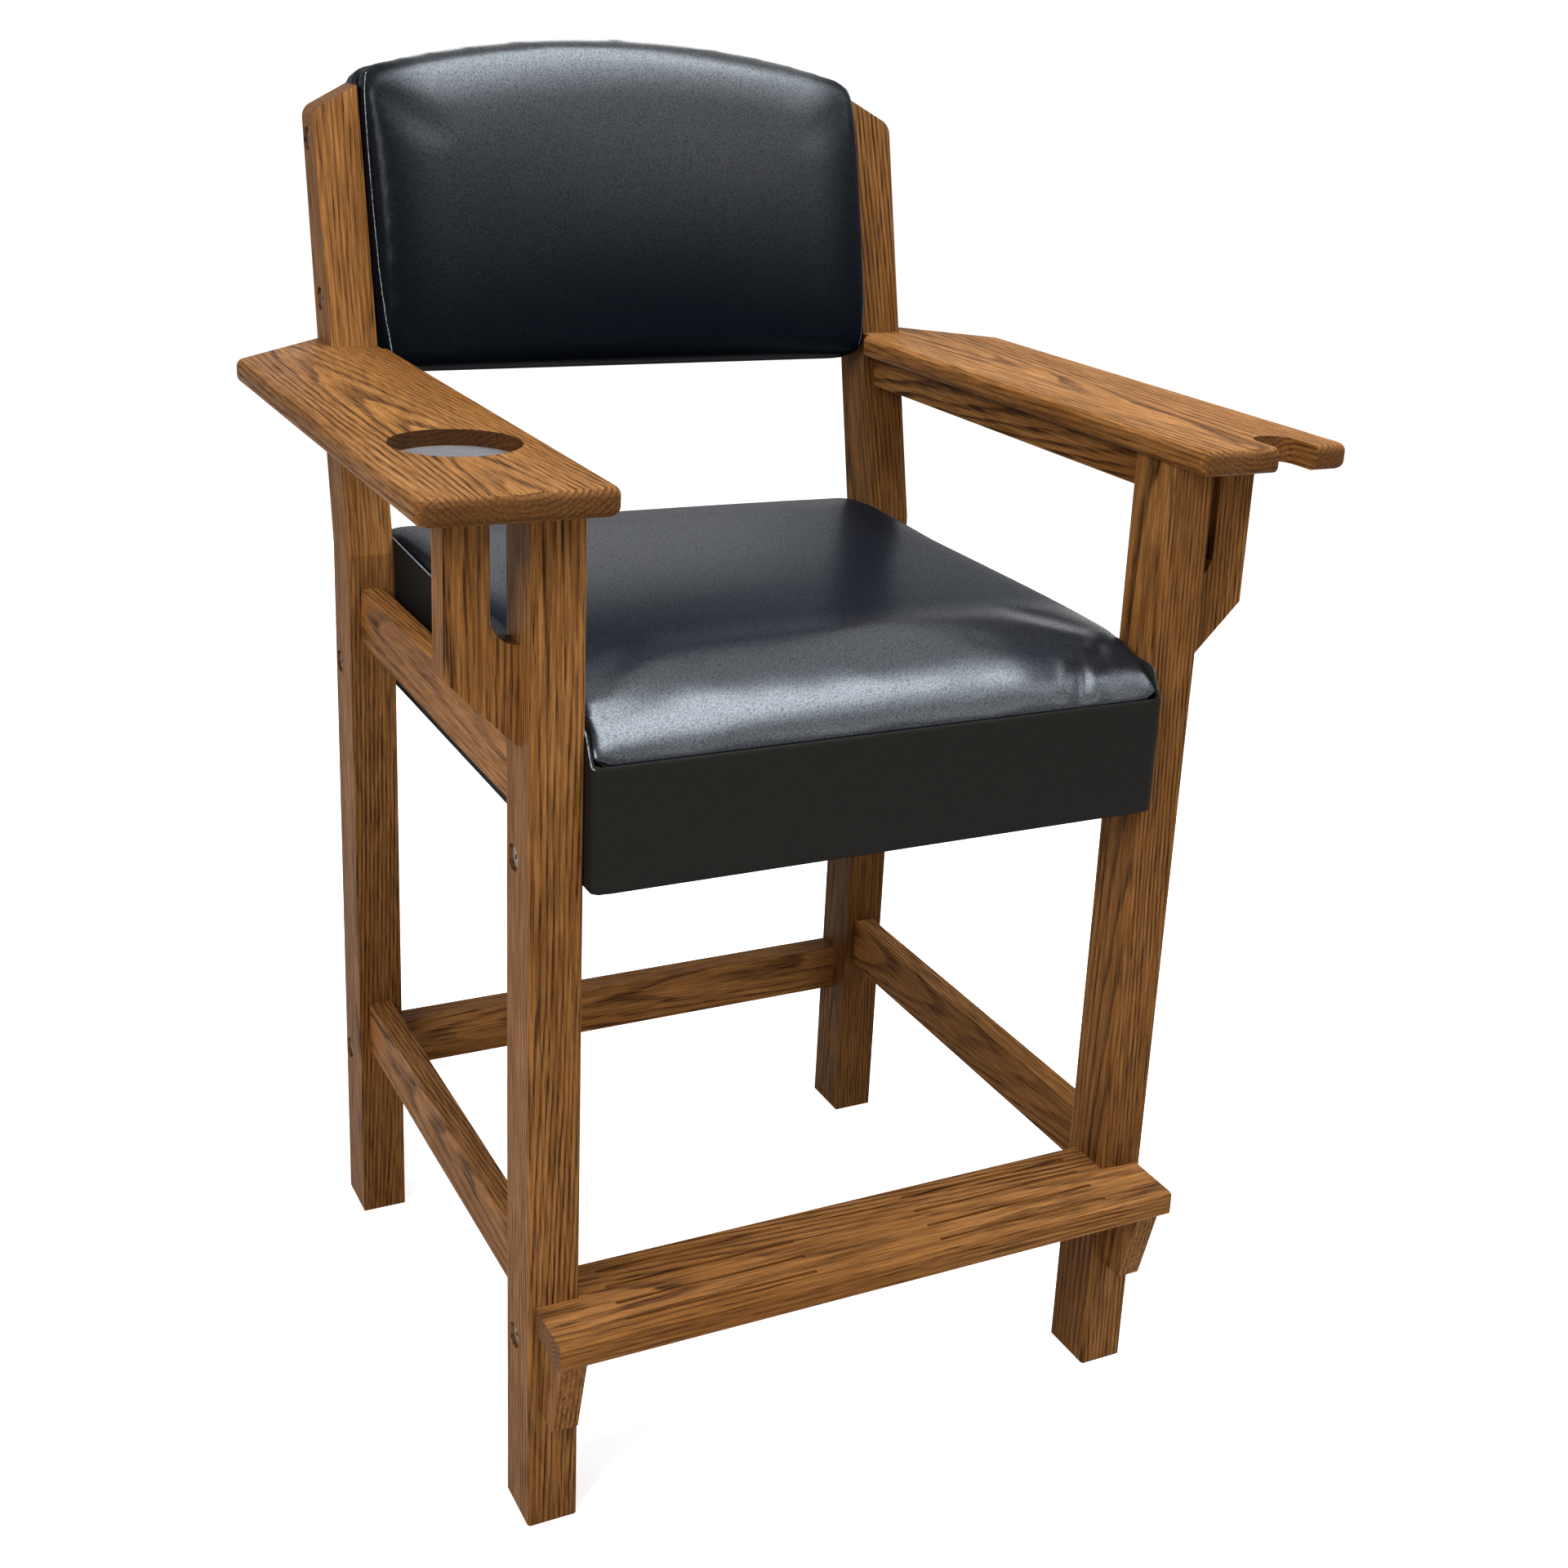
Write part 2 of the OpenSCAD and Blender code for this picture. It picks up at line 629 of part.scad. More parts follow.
// Triangles between rings, then a fan to a middle point or a lid
function ring_faces(first, rings, flip) = [for (k = [0 : rings - 2], i = [0 : ring_n - 1])
    let (row = first + k * ring_n, a = row + i, b = row + (i + 1) % ring_n, c = a + ring_n, d = b + ring_n)
    each (flip ? [[a, c, b], [b, c, d]] : [[a, b, c], [b, d, c]])];
function fan_faces(first, tip, flip) = [for (i = [0 : ring_n - 1])
    let (a = first + i, b = first + (i + 1) % ring_n) flip ? [a, tip, b] : [a, b, tip]];

// Seat rings: up the sides, round the edge and in over the crown
seat_levels = 7;
seat_mid_y = (seat_back_y - seat_front) / 2;
seat_domes = [0.9, 0.74, 0.54, 0.32, 0.12];
function seat_rect(x1, y0, y1, r) = let (
        c = [[x1 - r, y1 - r], [-x1 + r, y1 - r], [-x1 + r, y0 + r], [x1 - r, y0 + r]],
        arcs = [for (q = [0 : 3]) arc_points(c[q], r, 90 * q, 90 * q + 90)])
    [for (q = [0 : 3]) each concat(arcs[q], side_points(arcs[q][ring_arc - 1], arcs[(q + 1) % 4][0]))];

// Height of the edge at a depth, and how much of the front roll is felt there
function seat_edge(y) = seat_edge_z + seat_rise * (y + seat_front) / (seat_back_y + seat_front);
function seat_roll(y) = mix(seat_side_r, seat_front_r,
    pow(max(0, 1 - (y + seat_front) / (roll_reach * seat_front_r)), 2));

// The side panels pull in a little between the corners
seat_pull = 0.006;
function seat_draw(p) = let (t = (p[1] + seat_front) / (seat_back_y + seat_front))
    p[0] * (1 - seat_pull * sin(180 * min(1, max(0, t))));

// The front roll swells forward between the corners, where the cover is pulled in
function seat_lip(p, inset) = let (x = abs(p[0]) / leg_x, y = (p[1] + seat_front - inset) / seat_corner_r)
    max(0, 1 - y) * (1 - pow(x, 8));

function seat_edge_ring(a, e) = let (
        s = seat_side_r * (1 - cos(a)), f = seat_front_r * (1 - cos(a)),
        ring = seat_rect(leg_x - fit - e - s, -seat_front + e + f, seat_back_y - e - s,
            max(1, seat_corner_r - e - s)))
    [for (p = ring) [seat_draw(p), p[1] - seat_swell * sin(2 * a) * seat_lip(p, e + f),
        seat_edge(p[1]) - e - seat_roll(p[1]) * (1 - sin(a))]];

function seat_low_ring(z, e) = [for (p = seat_rect(leg_x - fit - e, -seat_front + e, seat_back_y - e,
    seat_corner_r - e)) [p[0], p[1], z]];

function seat_dome_ring(s, e) = [for (p = seat_edge_ring(90, e)) let (y = mix(seat_mid_y, p[1], s))
    [p[0] * s, y, seat_edge(y) - e + seat_crown * (1 - pow(s, 3))]];

function seat_rings(e) = concat(seat_low_ring(foam_z, e),
    [for (k = [0 : seat_levels - 3]) each seat_edge_ring(90 * k / (seat_levels - 3), e)],
    [for (s = seat_domes) each seat_dome_ring(s, e)],
    [[0, seat_mid_y, seat_edge(seat_mid_y) - e + seat_crown]]);
seat_count = 1 + (seat_levels - 2) + len(seat_domes);

// A shell open below: outer rings, inner rings and the rim between them
module ring_shell(outer, inner, rings) {
    total = len(outer);
    polyhedron(points = concat(outer, inner), faces = concat(
        ring_faces(0, rings, true), fan_faces((rings - 1) * ring_n, rings * ring_n, true),
        ring_faces(total, rings, false),
        fan_faces(total + (rings - 1) * ring_n, total + rings * ring_n, false),
        [for (i = [0 : ring_n - 1]) let (j = (i + 1) % ring_n) each
            [[i, j, total + j], [i, total + j, total + i]]]), convexity = 6);
}

// A solid closed by a flat lid round the point given
module ring_solid(points, rings, lid) polyhedron(points = concat(points, [lid]), faces = concat(
    ring_faces(0, rings, true), fan_faces((rings - 1) * ring_n, rings * ring_n, true),
    fan_faces(0, len(points), false)), convexity = 4);

module seat_cover() color(vinyl) placed() difference() {
    ring_shell(concat(seat_low_ring(seat_z, 0), seat_rings(0)),
        concat(seat_low_ring(seat_z, cover_t), seat_rings(cover_t)), seat_count + 1);
    for (s = [0, 1], y = [seat_bolt_y, post_back(seat_bolt_z) - back_bolt_in]) mirror([s, 0, 0])
        x_hole(leg_x - fit - cover_t - cut, leg_x + cut, y, seat_bolt_z, bolt_hole);
}

module seat_foam() color(foam) placed()
    ring_solid(seat_rings(cover_t + fit), seat_count, [0, seat_mid_y, foam_z]);

// Back pad: rings across the posts, from the rear rim forward and in over the crown
pad_domes = [0.92, 0.78, 0.58, 0.34, 0.12];
function pad_outline(e) = let (
        r = pad_corner_r - e,
        top_l = arc_points([-pad_corner_x, pad_top - pad_corner_r], r, 90 + pad_arch_tilt, 180),
        low_l = arc_points([-pad_corner_x, pad_low + pad_corner_r], r, 180, 270),
        low_r = arc_points([pad_corner_x, pad_low + pad_corner_r], r, 270, 360),
        top_r = arc_points([pad_corner_x, pad_top - pad_corner_r], r, 0, 90 - pad_arch_tilt),
        arch = [for (i = [1 : ring_side])
            let (a = mix(90 - pad_arch_tilt, 90 + pad_arch_tilt, i / (ring_side + 1)))
            [0, pad_arch_c] + (pad_arch_r - e) * [cos(a), sin(a)]])
    concat(top_r, arch, top_l, side_points(top_l[ring_arc - 1], low_l[0]), low_l,
        side_points(low_l[ring_arc - 1], low_r[0]), low_r, side_points(low_r[ring_arc - 1], top_r[0]));

function pad_ring(d, inset, e) = [for (p = pad_outline(e + inset)) [p[0], d, p[1]]];
function pad_dome_ring(s, e) = [for (p = pad_outline(e + pad_edge_r))
    [p[0] * s, e - pad_proud - pad_crown * (1 - pow(s, 3)), mix(pad_mid, p[1], s)]];
function pad_edge_ring(a, e) =
    pad_ring(e - pad_proud + pad_edge_r * (1 - sin(a)), pad_edge_r * (1 - cos(a)), e);
function pad_front_rings(e) = concat(
    [for (k = [0 : 4]) each pad_edge_ring(90 * k / 4, e)],
    [for (s = pad_domes) each pad_dome_ring(s, e)],
    [[0, e - pad_proud - pad_crown, pad_mid]]);
pad_front_count = 5 + len(pad_domes);

function pad_cover_rings(e) = concat(pad_ring(pad_rear, rim_in, e), pad_ring(pad_rear - rim_d, 0, e),
    pad_front_rings(e));

module back_cover() color(vinyl) placed() on_post() difference() {
    ring_shell(pad_cover_rings(0), pad_cover_rings(cover_t), pad_front_count + 2);
    for (s = [0, 1], w = pad_bolts) mirror([s, 0, 0])
        x_hole(pad_x - cover_t - cut, leg_x + cut, core_mid, w, bolt_hole);
}

module back_foam() color(foam) placed() on_post()
    ring_solid(concat(pad_ring(core_in, 0, cover_t + fit), pad_front_rings(cover_t + fit)),
        pad_front_count + 1, [0, core_in, pad_mid]);

module pad_slab(d0, d1, e) along_y(d0, d1) polygon(pad_outline(e));

module back_core() color(wood_inside) placed() on_post() difference() {
    pad_slab(core_in, core_in + core_t, cover_t + fit);
    for (s = [0, 1], w = pad_bolts) mirror([s, 0, 0])
        translate([0, core_mid, w]) nut_hole_back(core_t);
}
module back_rear_panel() color(vinyl) placed() on_post()
    pad_slab(core_in + core_t, core_in + core_t + rear_panel_t, cover_t + fit + rim_in);

// Fasteners

// The bolt lies along x with its head on the floor of the recess
hex_d = bolt_d * 0.8;
hex_depth = head_t * 0.6;
module bolt() translate([side_x - recess_depth, 0, 0]) rotate([0, 90, 0]) difference() {
    union() {
        cylinder(h = head_t, d = head_d);
        translate([0, 0, -bolt_len]) cylinder(h = bolt_len + head_t / 2, d = bolt_d);
    }
    translate([0, 0, head_t - hex_depth]) cylinder(h = head_t, d = hex_d, $fn = 6);
}

module connector_bolts() color(steel) for (side = [-1, 1]) on_side(side) {
    at_front_bolts() bolt();
    at_back_bolts() bolt();
}

module barrel_nut() difference() {
    cylinder(h = nut_len, d = nut_d, center = true);
    rotate([0, 90, 0]) cylinder(h = nut_d + 2 * cut, d = bolt_d + hole_fit, center = true);
}

module barrel_nuts() color(steel) for (side = [-1, 1]) on_side(side) translate([leg_x - nut_in, 0, 0]) {
    translate([0, seat_bolt_y, seat_bolt_z]) barrel_nut();
    translate([0, post_back(seat_bolt_z) - back_bolt_in, seat_bolt_z]) barrel_nut();
    translate([0, footrest_bolt_y, footrest_bolt_z]) rotate([90, 0, 0]) barrel_nut();
    translate([0, back_stretcher_y + back_stretcher_t / 2, back_stretcher_mid])
        rotate([90, 0, 0]) barrel_nut();
    at_pad_bolts() rotate([90, 0, 0]) barrel_nut();
}

module frame_dowels() color(dowel_wood) for (side = [-1, 1]) on_side(side) {
    front_leg_dowels(false);
    post_dowels(false);
}

// A hole for a screw that stands on its head, with a wider bore of the given depth below it
module screw_bore(below) {
    cylinder(h = screw_len + fit, d = screw_d + hole_fit);
    if (below > 0) translate([0, 0, -below - cut]) cylinder(h = below + cut, d = screw_head_d + 2);
}

module screw() {
    cylinder(h = screw_len, d = screw_d);
    translate([0, 0, -screw_head_t]) cylinder(h = screw_head_t, d = screw_head_d);
}

module wood_screws() color(steel) {
    for (side = [-1, 1]) on_side(side) at_arm_screws() screw();
    placed() at_foot_screws() screw();
}

front_leg(-1);  // front_leg_left
front_leg(1);  // front_leg_right
back_post(-1);  // back_post_left
back_post(1);  // back_post_right
side_rail(-1);  // side_rail_left
side_rail(1);  // side_rail_right
side_stretcher(-1);  // side_stretcher_left
side_stretcher(1);  // side_stretcher_right
arm_rail(-1);  // arm_rail_left
arm_rail(1);  // arm_rail_right
arm_left();
arm_right();
cue_bracket(-1);  // cue_bracket_left
cue_bracket(1);  // cue_bracket_right
cup_liner();
back_stretcher();
footrest_plank();
footrest_rail();
footrest_bracket(-1);  // footrest_bracket_left
footrest_bracket(1);  // footrest_bracket_right
seat_front_board();
seat_back_board();
seat_side_board(-1);  // seat_side_board_left
seat_side_board(1);  // seat_side_board_right
seat_corner_blocks();
seat_deck();
seat_foam();
seat_cover();
seat_dust_cover();
back_core();
back_foam();
back_cover();
back_rear_panel();
connector_bolts();
barrel_nuts();
frame_dowels();
wood_screws();
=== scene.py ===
# %% [markdown]
# # Spectator chair
# A tall wooden armchair: stained oak, a boxed seat in black vinyl, an arched back pad between two
# leaning posts, a cup recess in one arm and a cue notch in the other. The wood is already packed as
# exact solids, so this script opens them, gives each board its own grain, and makes the upholstery.

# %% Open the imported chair
import bpy
import json
import math
import numpy as np
from mathutils import Euler, Matrix, Vector

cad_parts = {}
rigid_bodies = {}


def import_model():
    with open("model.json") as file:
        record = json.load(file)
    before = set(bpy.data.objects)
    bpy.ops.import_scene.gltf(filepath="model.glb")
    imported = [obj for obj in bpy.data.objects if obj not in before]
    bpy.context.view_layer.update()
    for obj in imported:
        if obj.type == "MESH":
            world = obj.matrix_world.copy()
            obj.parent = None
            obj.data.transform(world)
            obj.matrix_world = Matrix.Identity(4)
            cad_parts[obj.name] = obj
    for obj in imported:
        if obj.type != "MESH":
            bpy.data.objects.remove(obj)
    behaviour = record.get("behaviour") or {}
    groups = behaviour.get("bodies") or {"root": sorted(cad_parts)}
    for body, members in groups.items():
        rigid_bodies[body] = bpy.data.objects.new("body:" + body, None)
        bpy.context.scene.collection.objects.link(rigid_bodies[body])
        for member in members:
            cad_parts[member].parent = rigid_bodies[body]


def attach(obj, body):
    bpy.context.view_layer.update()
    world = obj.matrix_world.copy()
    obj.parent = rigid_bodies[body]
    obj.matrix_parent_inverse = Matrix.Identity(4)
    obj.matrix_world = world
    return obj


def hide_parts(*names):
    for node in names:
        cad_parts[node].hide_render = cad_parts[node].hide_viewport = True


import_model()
for spare in [o for o in bpy.data.objects if o.name in ("Cube", "Camera", "Light")]:
    bpy.data.objects.remove(spare)
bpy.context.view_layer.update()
BODY = "root"

# %% [markdown]
# The camera stands where the photograph was taken: a little to the left of the front and above the
# arms. Its place, tilt and lens were worked out from the chair's own corners. The picture was
# cropped off centre, which is what a small lens shift does.

# %% The camera of the photograph
EYE = Vector((-0.79787, -1.72073, 1.26386))
AZIMUTH, TILT, ROLL = (math.radians(a) for a in (-28.3, 18.7, 3.1))
LENS_MM, SENSOR_MM = 47.44, 36.0
level = Vector((math.cos(AZIMUTH), math.sin(AZIMUTH), 0))
ahead = Vector((-math.sin(AZIMUTH) * math.cos(TILT), math.cos(AZIMUTH) * math.cos(TILT), -math.sin(TILT)))
upright = level.cross(ahead)
right = math.cos(ROLL) * level + math.sin(ROLL) * upright
above = math.cos(ROLL) * upright - math.sin(ROLL) * level
camera = bpy.data.objects.new("camera", bpy.data.cameras.new("camera"))
camera.matrix_world = Matrix.Translation(EYE) @ Matrix((right, above, -ahead)).transposed().to_4x4()
camera.data.lens, camera.data.sensor_width, camera.data.sensor_fit = LENS_MM, SENSOR_MM, "HORIZONTAL"
camera.data.shift_x, camera.data.shift_y = -0.0391, -0.0487
camera.data.clip_end = 50
bpy.context.collection.objects.link(camera)
bpy.context.scene.camera = camera
print("camera looks along", tuple(round(c, 3) for c in ahead))

# %% [markdown]
# A material is a sum: a base colour plus stripes, less dirt, times wear. So the small class below
# holds one value on its way through the node tree, and the plain signs + - * / lay the Math nodes.
# One method lays every other node. That way each finish reads like the recipe it is.

# %% A value on its way through a material
class Run:
    """The output socket of a node, with arithmetic: Run + 1, 2 * Run and so on lay Math nodes."""

    def __init__(self, tree, socket, wide=False):
        self.tree, self.socket, self.wide = tree, socket, wide

    def lay(self, kind, feeds, pick=0, wide=False, **choices):
        """Lays one node. feeds maps its inputs, by name or number, to values or other runs."""
        node = self.tree.nodes.new(kind)
        for name, choice in choices.items():
            setattr(node, name, choice)
        for place, value in feeds.items():
            if isinstance(value, Run):
                self.tree.links.new(value.socket, node.inputs[place])
            else:
                node.inputs[place].default_value = value
        return Run(self.tree, node.outputs[pick], wide)

    def sign(self, operation, first, second):
        """One Math node, or Vector Math where this run is a place or a direction."""
        kind = "ShaderNodeVectorMath" if self.wide else "ShaderNodeMath"
        fill = (lambda v: v if isinstance(v, Run) or not self.wide else (v, v, v))
        return self.lay(kind, {0: fill(first), 1: fill(second)}, wide=self.wide, operation=operation)

    def __add__(self, other): return self.sign("ADD", self, other)
    def __radd__(self, other): return self.sign("ADD", other, self)
    def __sub__(self, other): return self.sign("SUBTRACT", self, other)
    def __rsub__(self, other): return self.sign("SUBTRACT", other, self)
    def __mul__(self, other): return self.sign("MULTIPLY", self, other)
    def __rmul__(self, other): return self.sign("MULTIPLY", other, self)
    def __truediv__(self, other): return self.sign("DIVIDE", self, other)
    def __rtruediv__(self, other): return self.sign("DIVIDE", other, self)

    def stretch(self, x, y, z):
        """The same place measured with another rule along each axis."""
        return self.lay("ShaderNodeVectorMath", {0: self, 1: (x, y, z)}, wide=True, operation="MULTIPLY")

    def cloud(self, scale, detail=2.0, rough=0.5):
        """Soft noise from 0 to 1 at this place."""
        return self.lay("ShaderNodeTexNoise", {"Vector": self, "Scale": scale, "Detail": detail,
                                               "Roughness": rough})

    def cells(self, scale):
        """Distance to the middle of the nearest of many scattered cells, smooth where two cells meet."""
        return self.lay("ShaderNodeTexVoronoi", {"Vector": self, "Scale": scale}, feature="SMOOTH_F1")

    def ease(self, low, high):
        """0 under low, 1 over high and a smooth step between."""
        return self.lay("ShaderNodeMapRange", {"Value": self, "From Min": low, "From Max": high},
                        interpolation_type="SMOOTHSTEP")

    def tint(self, dark, light):
        """The colour that lies this far from dark to light."""
        paint = (lambda c: c if isinstance(c, Run) else (*c, 1.0))
        return self.lay("ShaderNodeMix", {0: self, 6: paint(dark), 7: paint(light)}, pick=2,
                        data_type="RGBA")

    def raised(self, depth, strength=1.0):
        """A height in 0..1 turned into a surface that stands up by depth."""
        return self.lay("ShaderNodeBump", {"Height": self, "Distance": depth, "Strength": strength})


def finish(name, turn=(0, 0, 0), shift=(0, 0, 0), lean=None):
    """A new material: gives it, its shader and the place of a point on the piece, turned and shifted.

    lean=(height, slope) straightens a board that leans back above a height: y - slope * (z - height).
    """
    material = bpy.data.materials.new(name)
    material.use_nodes = True
    tree = material.node_tree
    shader = tree.nodes["Principled BSDF"]
    start = Run(tree, tree.nodes.new("ShaderNodeTexCoord").outputs["Object"], True)
    if lean:
        x, y, z = (start.lay("ShaderNodeSeparateXYZ", {0: start}, pick=k) for k in range(3))
        back = z.sign("MAXIMUM", z - lean[0], 0.0) * lean[1]
        start = start.lay("ShaderNodeCombineXYZ", {0: x, 1: y - back, 2: z}, wide=True)
    place = start.lay("ShaderNodeMapping", {"Vector": start, "Rotation": turn, "Location": shift}, wide=True)
    return material, shader, place


def feed(shader, **values):
    """Sends runs to a shader's sockets and sets plain numbers on them."""
    for name, value in values.items():
        socket = shader.inputs[name.replace("_", " ")]
        if isinstance(value, Run):
            value.tree.links.new(value.socket, socket)
        else:
            socket.default_value = value


print("the material kit is ready")

# %% [markdown]
# Oak is a bundle of rings. Each year has a band of open pores and a band of dense wood, and a saw
# cuts through them nearly along the trunk, so a face shows long dark lines that drift, fork and
# close into arches. The stain sinks into the pores and makes them darker still. The finish below
# measures the distance from a tree's heart that lies seven to nine centimetres from the middle of
# the board, bends it with noise, and turns it into rings. Boards have the heart behind one face, and
# square posts have it beyond a corner. The same field gives end grain on sawn ends for free, and
# there the open fibres drink more stain, so ends come out darker, the inside of the cup recess too.
# The inside of that recess is darkened further with painted shade.

# %% Stained oak
CUP, CUP_R = (-0.328, -0.19119, 0.0), 0.0521
RAKE, KNEE_Z = math.radians(12.7), 0.735
ALONG = {"x": (0, math.radians(-90), 0), "y": (math.radians(90), 0, 0), "z": (0, 0, 0)}


def start_of(place):
    """The chair's own place of a point, before it was turned and shifted."""
    return Run(place.tree, place.tree.nodes["Texture Coordinate"].outputs["Object"], True)


def surface_facing(place, along):
    """How squarely the surface faces along an axis of the chair, from 0 to 1."""
    facing = place.lay("ShaderNodeNewGeometry", {}, pick=1)
    part = place.lay("ShaderNodeSeparateXYZ", {0: facing}, pick="xyz".index(along))
    return place.lay("ShaderNodeMath", {0: part}, operation="ABSOLUTE")


def oak(name, along, seed, middle, heart, stain_and_shade, ring=0.0042, most_tip=0.045):
    """Stained oak with its grain along one axis.

    heart is how far the board's middle lies from the heart of the tree, across the grain, in metres.
    seed moves the board along the trunk, and tips it a little, by most_tip at most, so that its rings
    run out in arches. How light the board comes out is partly its stain and partly painted light and
    shade, set board by board to match how brightly each one is lit.
    """
    luck = np.random.default_rng(seed)
    centre = Euler(ALONG[along]).to_matrix() @ middle
    shift = (-centre.x, -centre.y, float(luck.uniform(-3, 3)))
    tip = [float(most_tip * luck.uniform(0.5, 1) * luck.choice((-1, 1))) for _ in range(2)]
    bend = (KNEE_Z, math.tan(RAKE)) if "post" in name else None
    material, shader, place = finish(name, ALONG[along], shift, bend)
    sway = (place.stretch(1, 1, 0.10).cloud(7.0, 2.0) - 0.5) * 0.034
    sway = sway + (place.stretch(1, 1, 0.14).cloud(45.0, 2.0) - 0.5) * 0.0052
    x, y, z = (place.lay("ShaderNodeSeparateXYZ", {0: place}, pick=k) for k in range(3))
    run = z - shift[2]
    a, b = x + (run * tip[0] + heart[0]), y + (run * tip[1] + heart[1])
    radius = a.sign("POWER", a * a + b * b, 0.5) + sway
    year = radius.lay("ShaderNodeMath", {0: radius / ring}, operation="FRACT")
    early = year.ease(0.0, 0.12) * (1 - year.ease(0.20, 0.62))
    strong = place.stretch(1, 1, 0.06).cloud(34.0, 2.0).ease(0.34, 0.66)
    line = early * (0.35 + strong * 0.65)
    pores = place.stretch(1, 1, 0.030).cloud(880.0, 2.0, 0.55)
    open_pores = pores.ease(0.56, 0.68) * 0.50 + pores.ease(0.42, 0.58) * line * 0.95
    fibres = place.stretch(1, 1, 0.04).cloud(460.0, 3.0, 0.65).ease(0.36, 0.66)
    sawn = surface_facing(place, along).ease(0.35, 0.85)
    # Scales each colour by the board's lightness: partly its stain, partly painted light and shade.
    shade = lambda *c: tuple(v * stain_and_shade for v in c)
    drift = place.stretch(1, 1, 0.20).cloud(11.0, 3.0).ease(0.28, 0.72)
    ground = drift.tint(shade(0.208, 0.081, 0.0185), shade(0.345, 0.152, 0.046))
    fibred = (fibres * 0.70).tint(ground, shade(0.098, 0.036, 0.008))
    ringed = (line * (0.58 - sawn * 0.26)).tint(fibred, shade(0.056, 0.021, 0.007))
    pored = open_pores.tint(ringed, shade(0.034, 0.014, 0.006))
    colour = (sawn * 0.55).tint(pored, shade(0.060, 0.024, 0.009))
    # Painted shade: the inside of the cup recess in the left arm is darkened as if shade fell into it.
    if name.endswith("arm_left"):
        middle = start_of(place).lay("ShaderNodeVectorMath", {0: start_of(place), 1: CUP}, wide=True,
                                     operation="SUBTRACT")
        a, b = (middle.lay("ShaderNodeSeparateXYZ", {0: middle}, pick=k) for k in (0, 1))
        recess_shade = 1 - a.sign("POWER", a * a + b * b, 0.5).ease(CUP_R, CUP_R + 0.0006)
        colour = (recess_shade * 0.62).tint(colour, shade(0.030, 0.014, 0.008))
    feed(shader, Base_Color=colour, Roughness=0.46 + fibres * 0.10 + open_pores * 0.12,
         Normal=(1 - open_pores * 0.8).raised(0.00035, 0.45))
    feed(shader, Specular_IOR_Level=0.02)
    return material


# Each board's grain direction, how light it comes out (partly its stain, partly painted light and shade set
# per board), and where the tree's heart lay
FLAT, SIDE, EDGE, CORNER = (0.012, 0.072), (0.072, 0.012), (0.085, 0.006), (0.066, 0.050)
boards = {
    "front_leg_left": ("z", 0.92, CORNER), "front_leg_right": ("z", 0.88, CORNER),
    "back_post_left": ("z", 0.80, CORNER), "back_post_right": ("z", 0.56, CORNER),
    "side_rail_left": ("y", 1.05, SIDE), "side_rail_right": ("y", 0.9, SIDE),
    "side_stretcher_left": ("y", 1.0, SIDE), "side_stretcher_right": ("y", 0.94, SIDE),
    "arm_rail_left": ("y", 0.95, SIDE), "arm_rail_right": ("y", 0.9, SIDE),
    "arm_left": ("y", 0.76, FLAT), "arm_right": ("y", 0.84, FLAT),
    "cue_bracket_left": ("z", 0.92, CORNER), "cue_bracket_right": ("z", 0.96, CORNER),
    "back_stretcher": ("x", 0.92, FLAT), "footrest_rail": ("x", 0.95, FLAT),
    "footrest_plank": ("x", 0.96, SIDE),
    "footrest_bracket_left": ("z", 1.0, EDGE), "footrest_bracket_right": ("z", 1.0, EDGE),
}
for number, (board, (along, stain_and_shade, heart)) in enumerate(boards.items()):
    node = bpy.data.objects[board]
    middle = sum((Vector(corner) for corner in node.bound_box), Vector()) / 8
    node.data.materials.clear()
    node.data.materials.append(oak(f"oak {board}", along, 40 + number, middle, heart, stain_and_shade))
print("boards with their own grain:", len(boards))

# %% [markdown]
# The hidden boards are plain: the seat box and the core of the back pad are unstained softwood and
# plywood. The fastenings are dark bronzed steel, and the lining of the cup recess is a disc of grey
# felt, whose fibres only show as a soft, uneven surface.

# %% Plain wood, bronze and felt
def plain_wood(name, along):
    """Unfinished pale wood: wide soft bands along the grain and faint short fibres."""
    material, shader, place = finish(name, ALONG[along])
    bands = place.stretch(1, 1, 0.08).cloud(90.0, 3.0).ease(0.3, 0.7)
    fibres = place.stretch(1, 1, 0.05).cloud(700.0, 2.0).ease(0.35, 0.75)
    colour = (bands * 0.6 + fibres * 0.3).tint((0.60, 0.43, 0.25), (0.42, 0.27, 0.14))
    feed(shader, Base_Color=colour, Roughness=0.72 + fibres * 0.1, Normal=fibres.raised(0.0003, 0.4))
    return material


def bronze(name):
    """Dark bronzed steel, worn paler in small patches."""
    material, shader, place = finish(name)
    patch = place.cloud(260.0, 3.0).ease(0.35, 0.7)
    scratch = place.stretch(1, 1, 0.2).cloud(2400.0, 2.0).ease(0.4, 0.8)
    feed(shader, Base_Color=patch.tint((0.085, 0.066, 0.050), (0.21, 0.165, 0.125)),
         Roughness=0.34 + scratch * 0.22, Normal=scratch.raised(0.00006, 0.4))
    feed(shader, Metallic=0.85)
    return material


def felt(name):
    """Grey felt: matted fibres, with painted shade that darkens the hollows of their bump."""
    material, shader, place = finish(name)
    mat = place.cloud(900.0, 4.0, 0.7)
    lint = place.cloud(120.0, 3.0).ease(0.3, 0.7)
    # Painted shade: the low parts of the matting are darker, as if shaded.
    colour = (mat.ease(0.3, 0.7) * 0.7 + lint * 0.3).tint((0.026, 0.023, 0.025), (0.082, 0.074, 0.079))
    feed(shader, Base_Color=colour, Roughness=0.93 + mat * 0.05, Normal=mat.raised(0.0008, 0.8))
    feed(shader, Sheen_Weight=0.1, Sheen_Roughness=0.6)
    return material


def dress(node, material):
    """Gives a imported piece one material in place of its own."""
    bpy.data.objects[node].data.materials.clear()
    bpy.data.objects[node].data.materials.append(material)


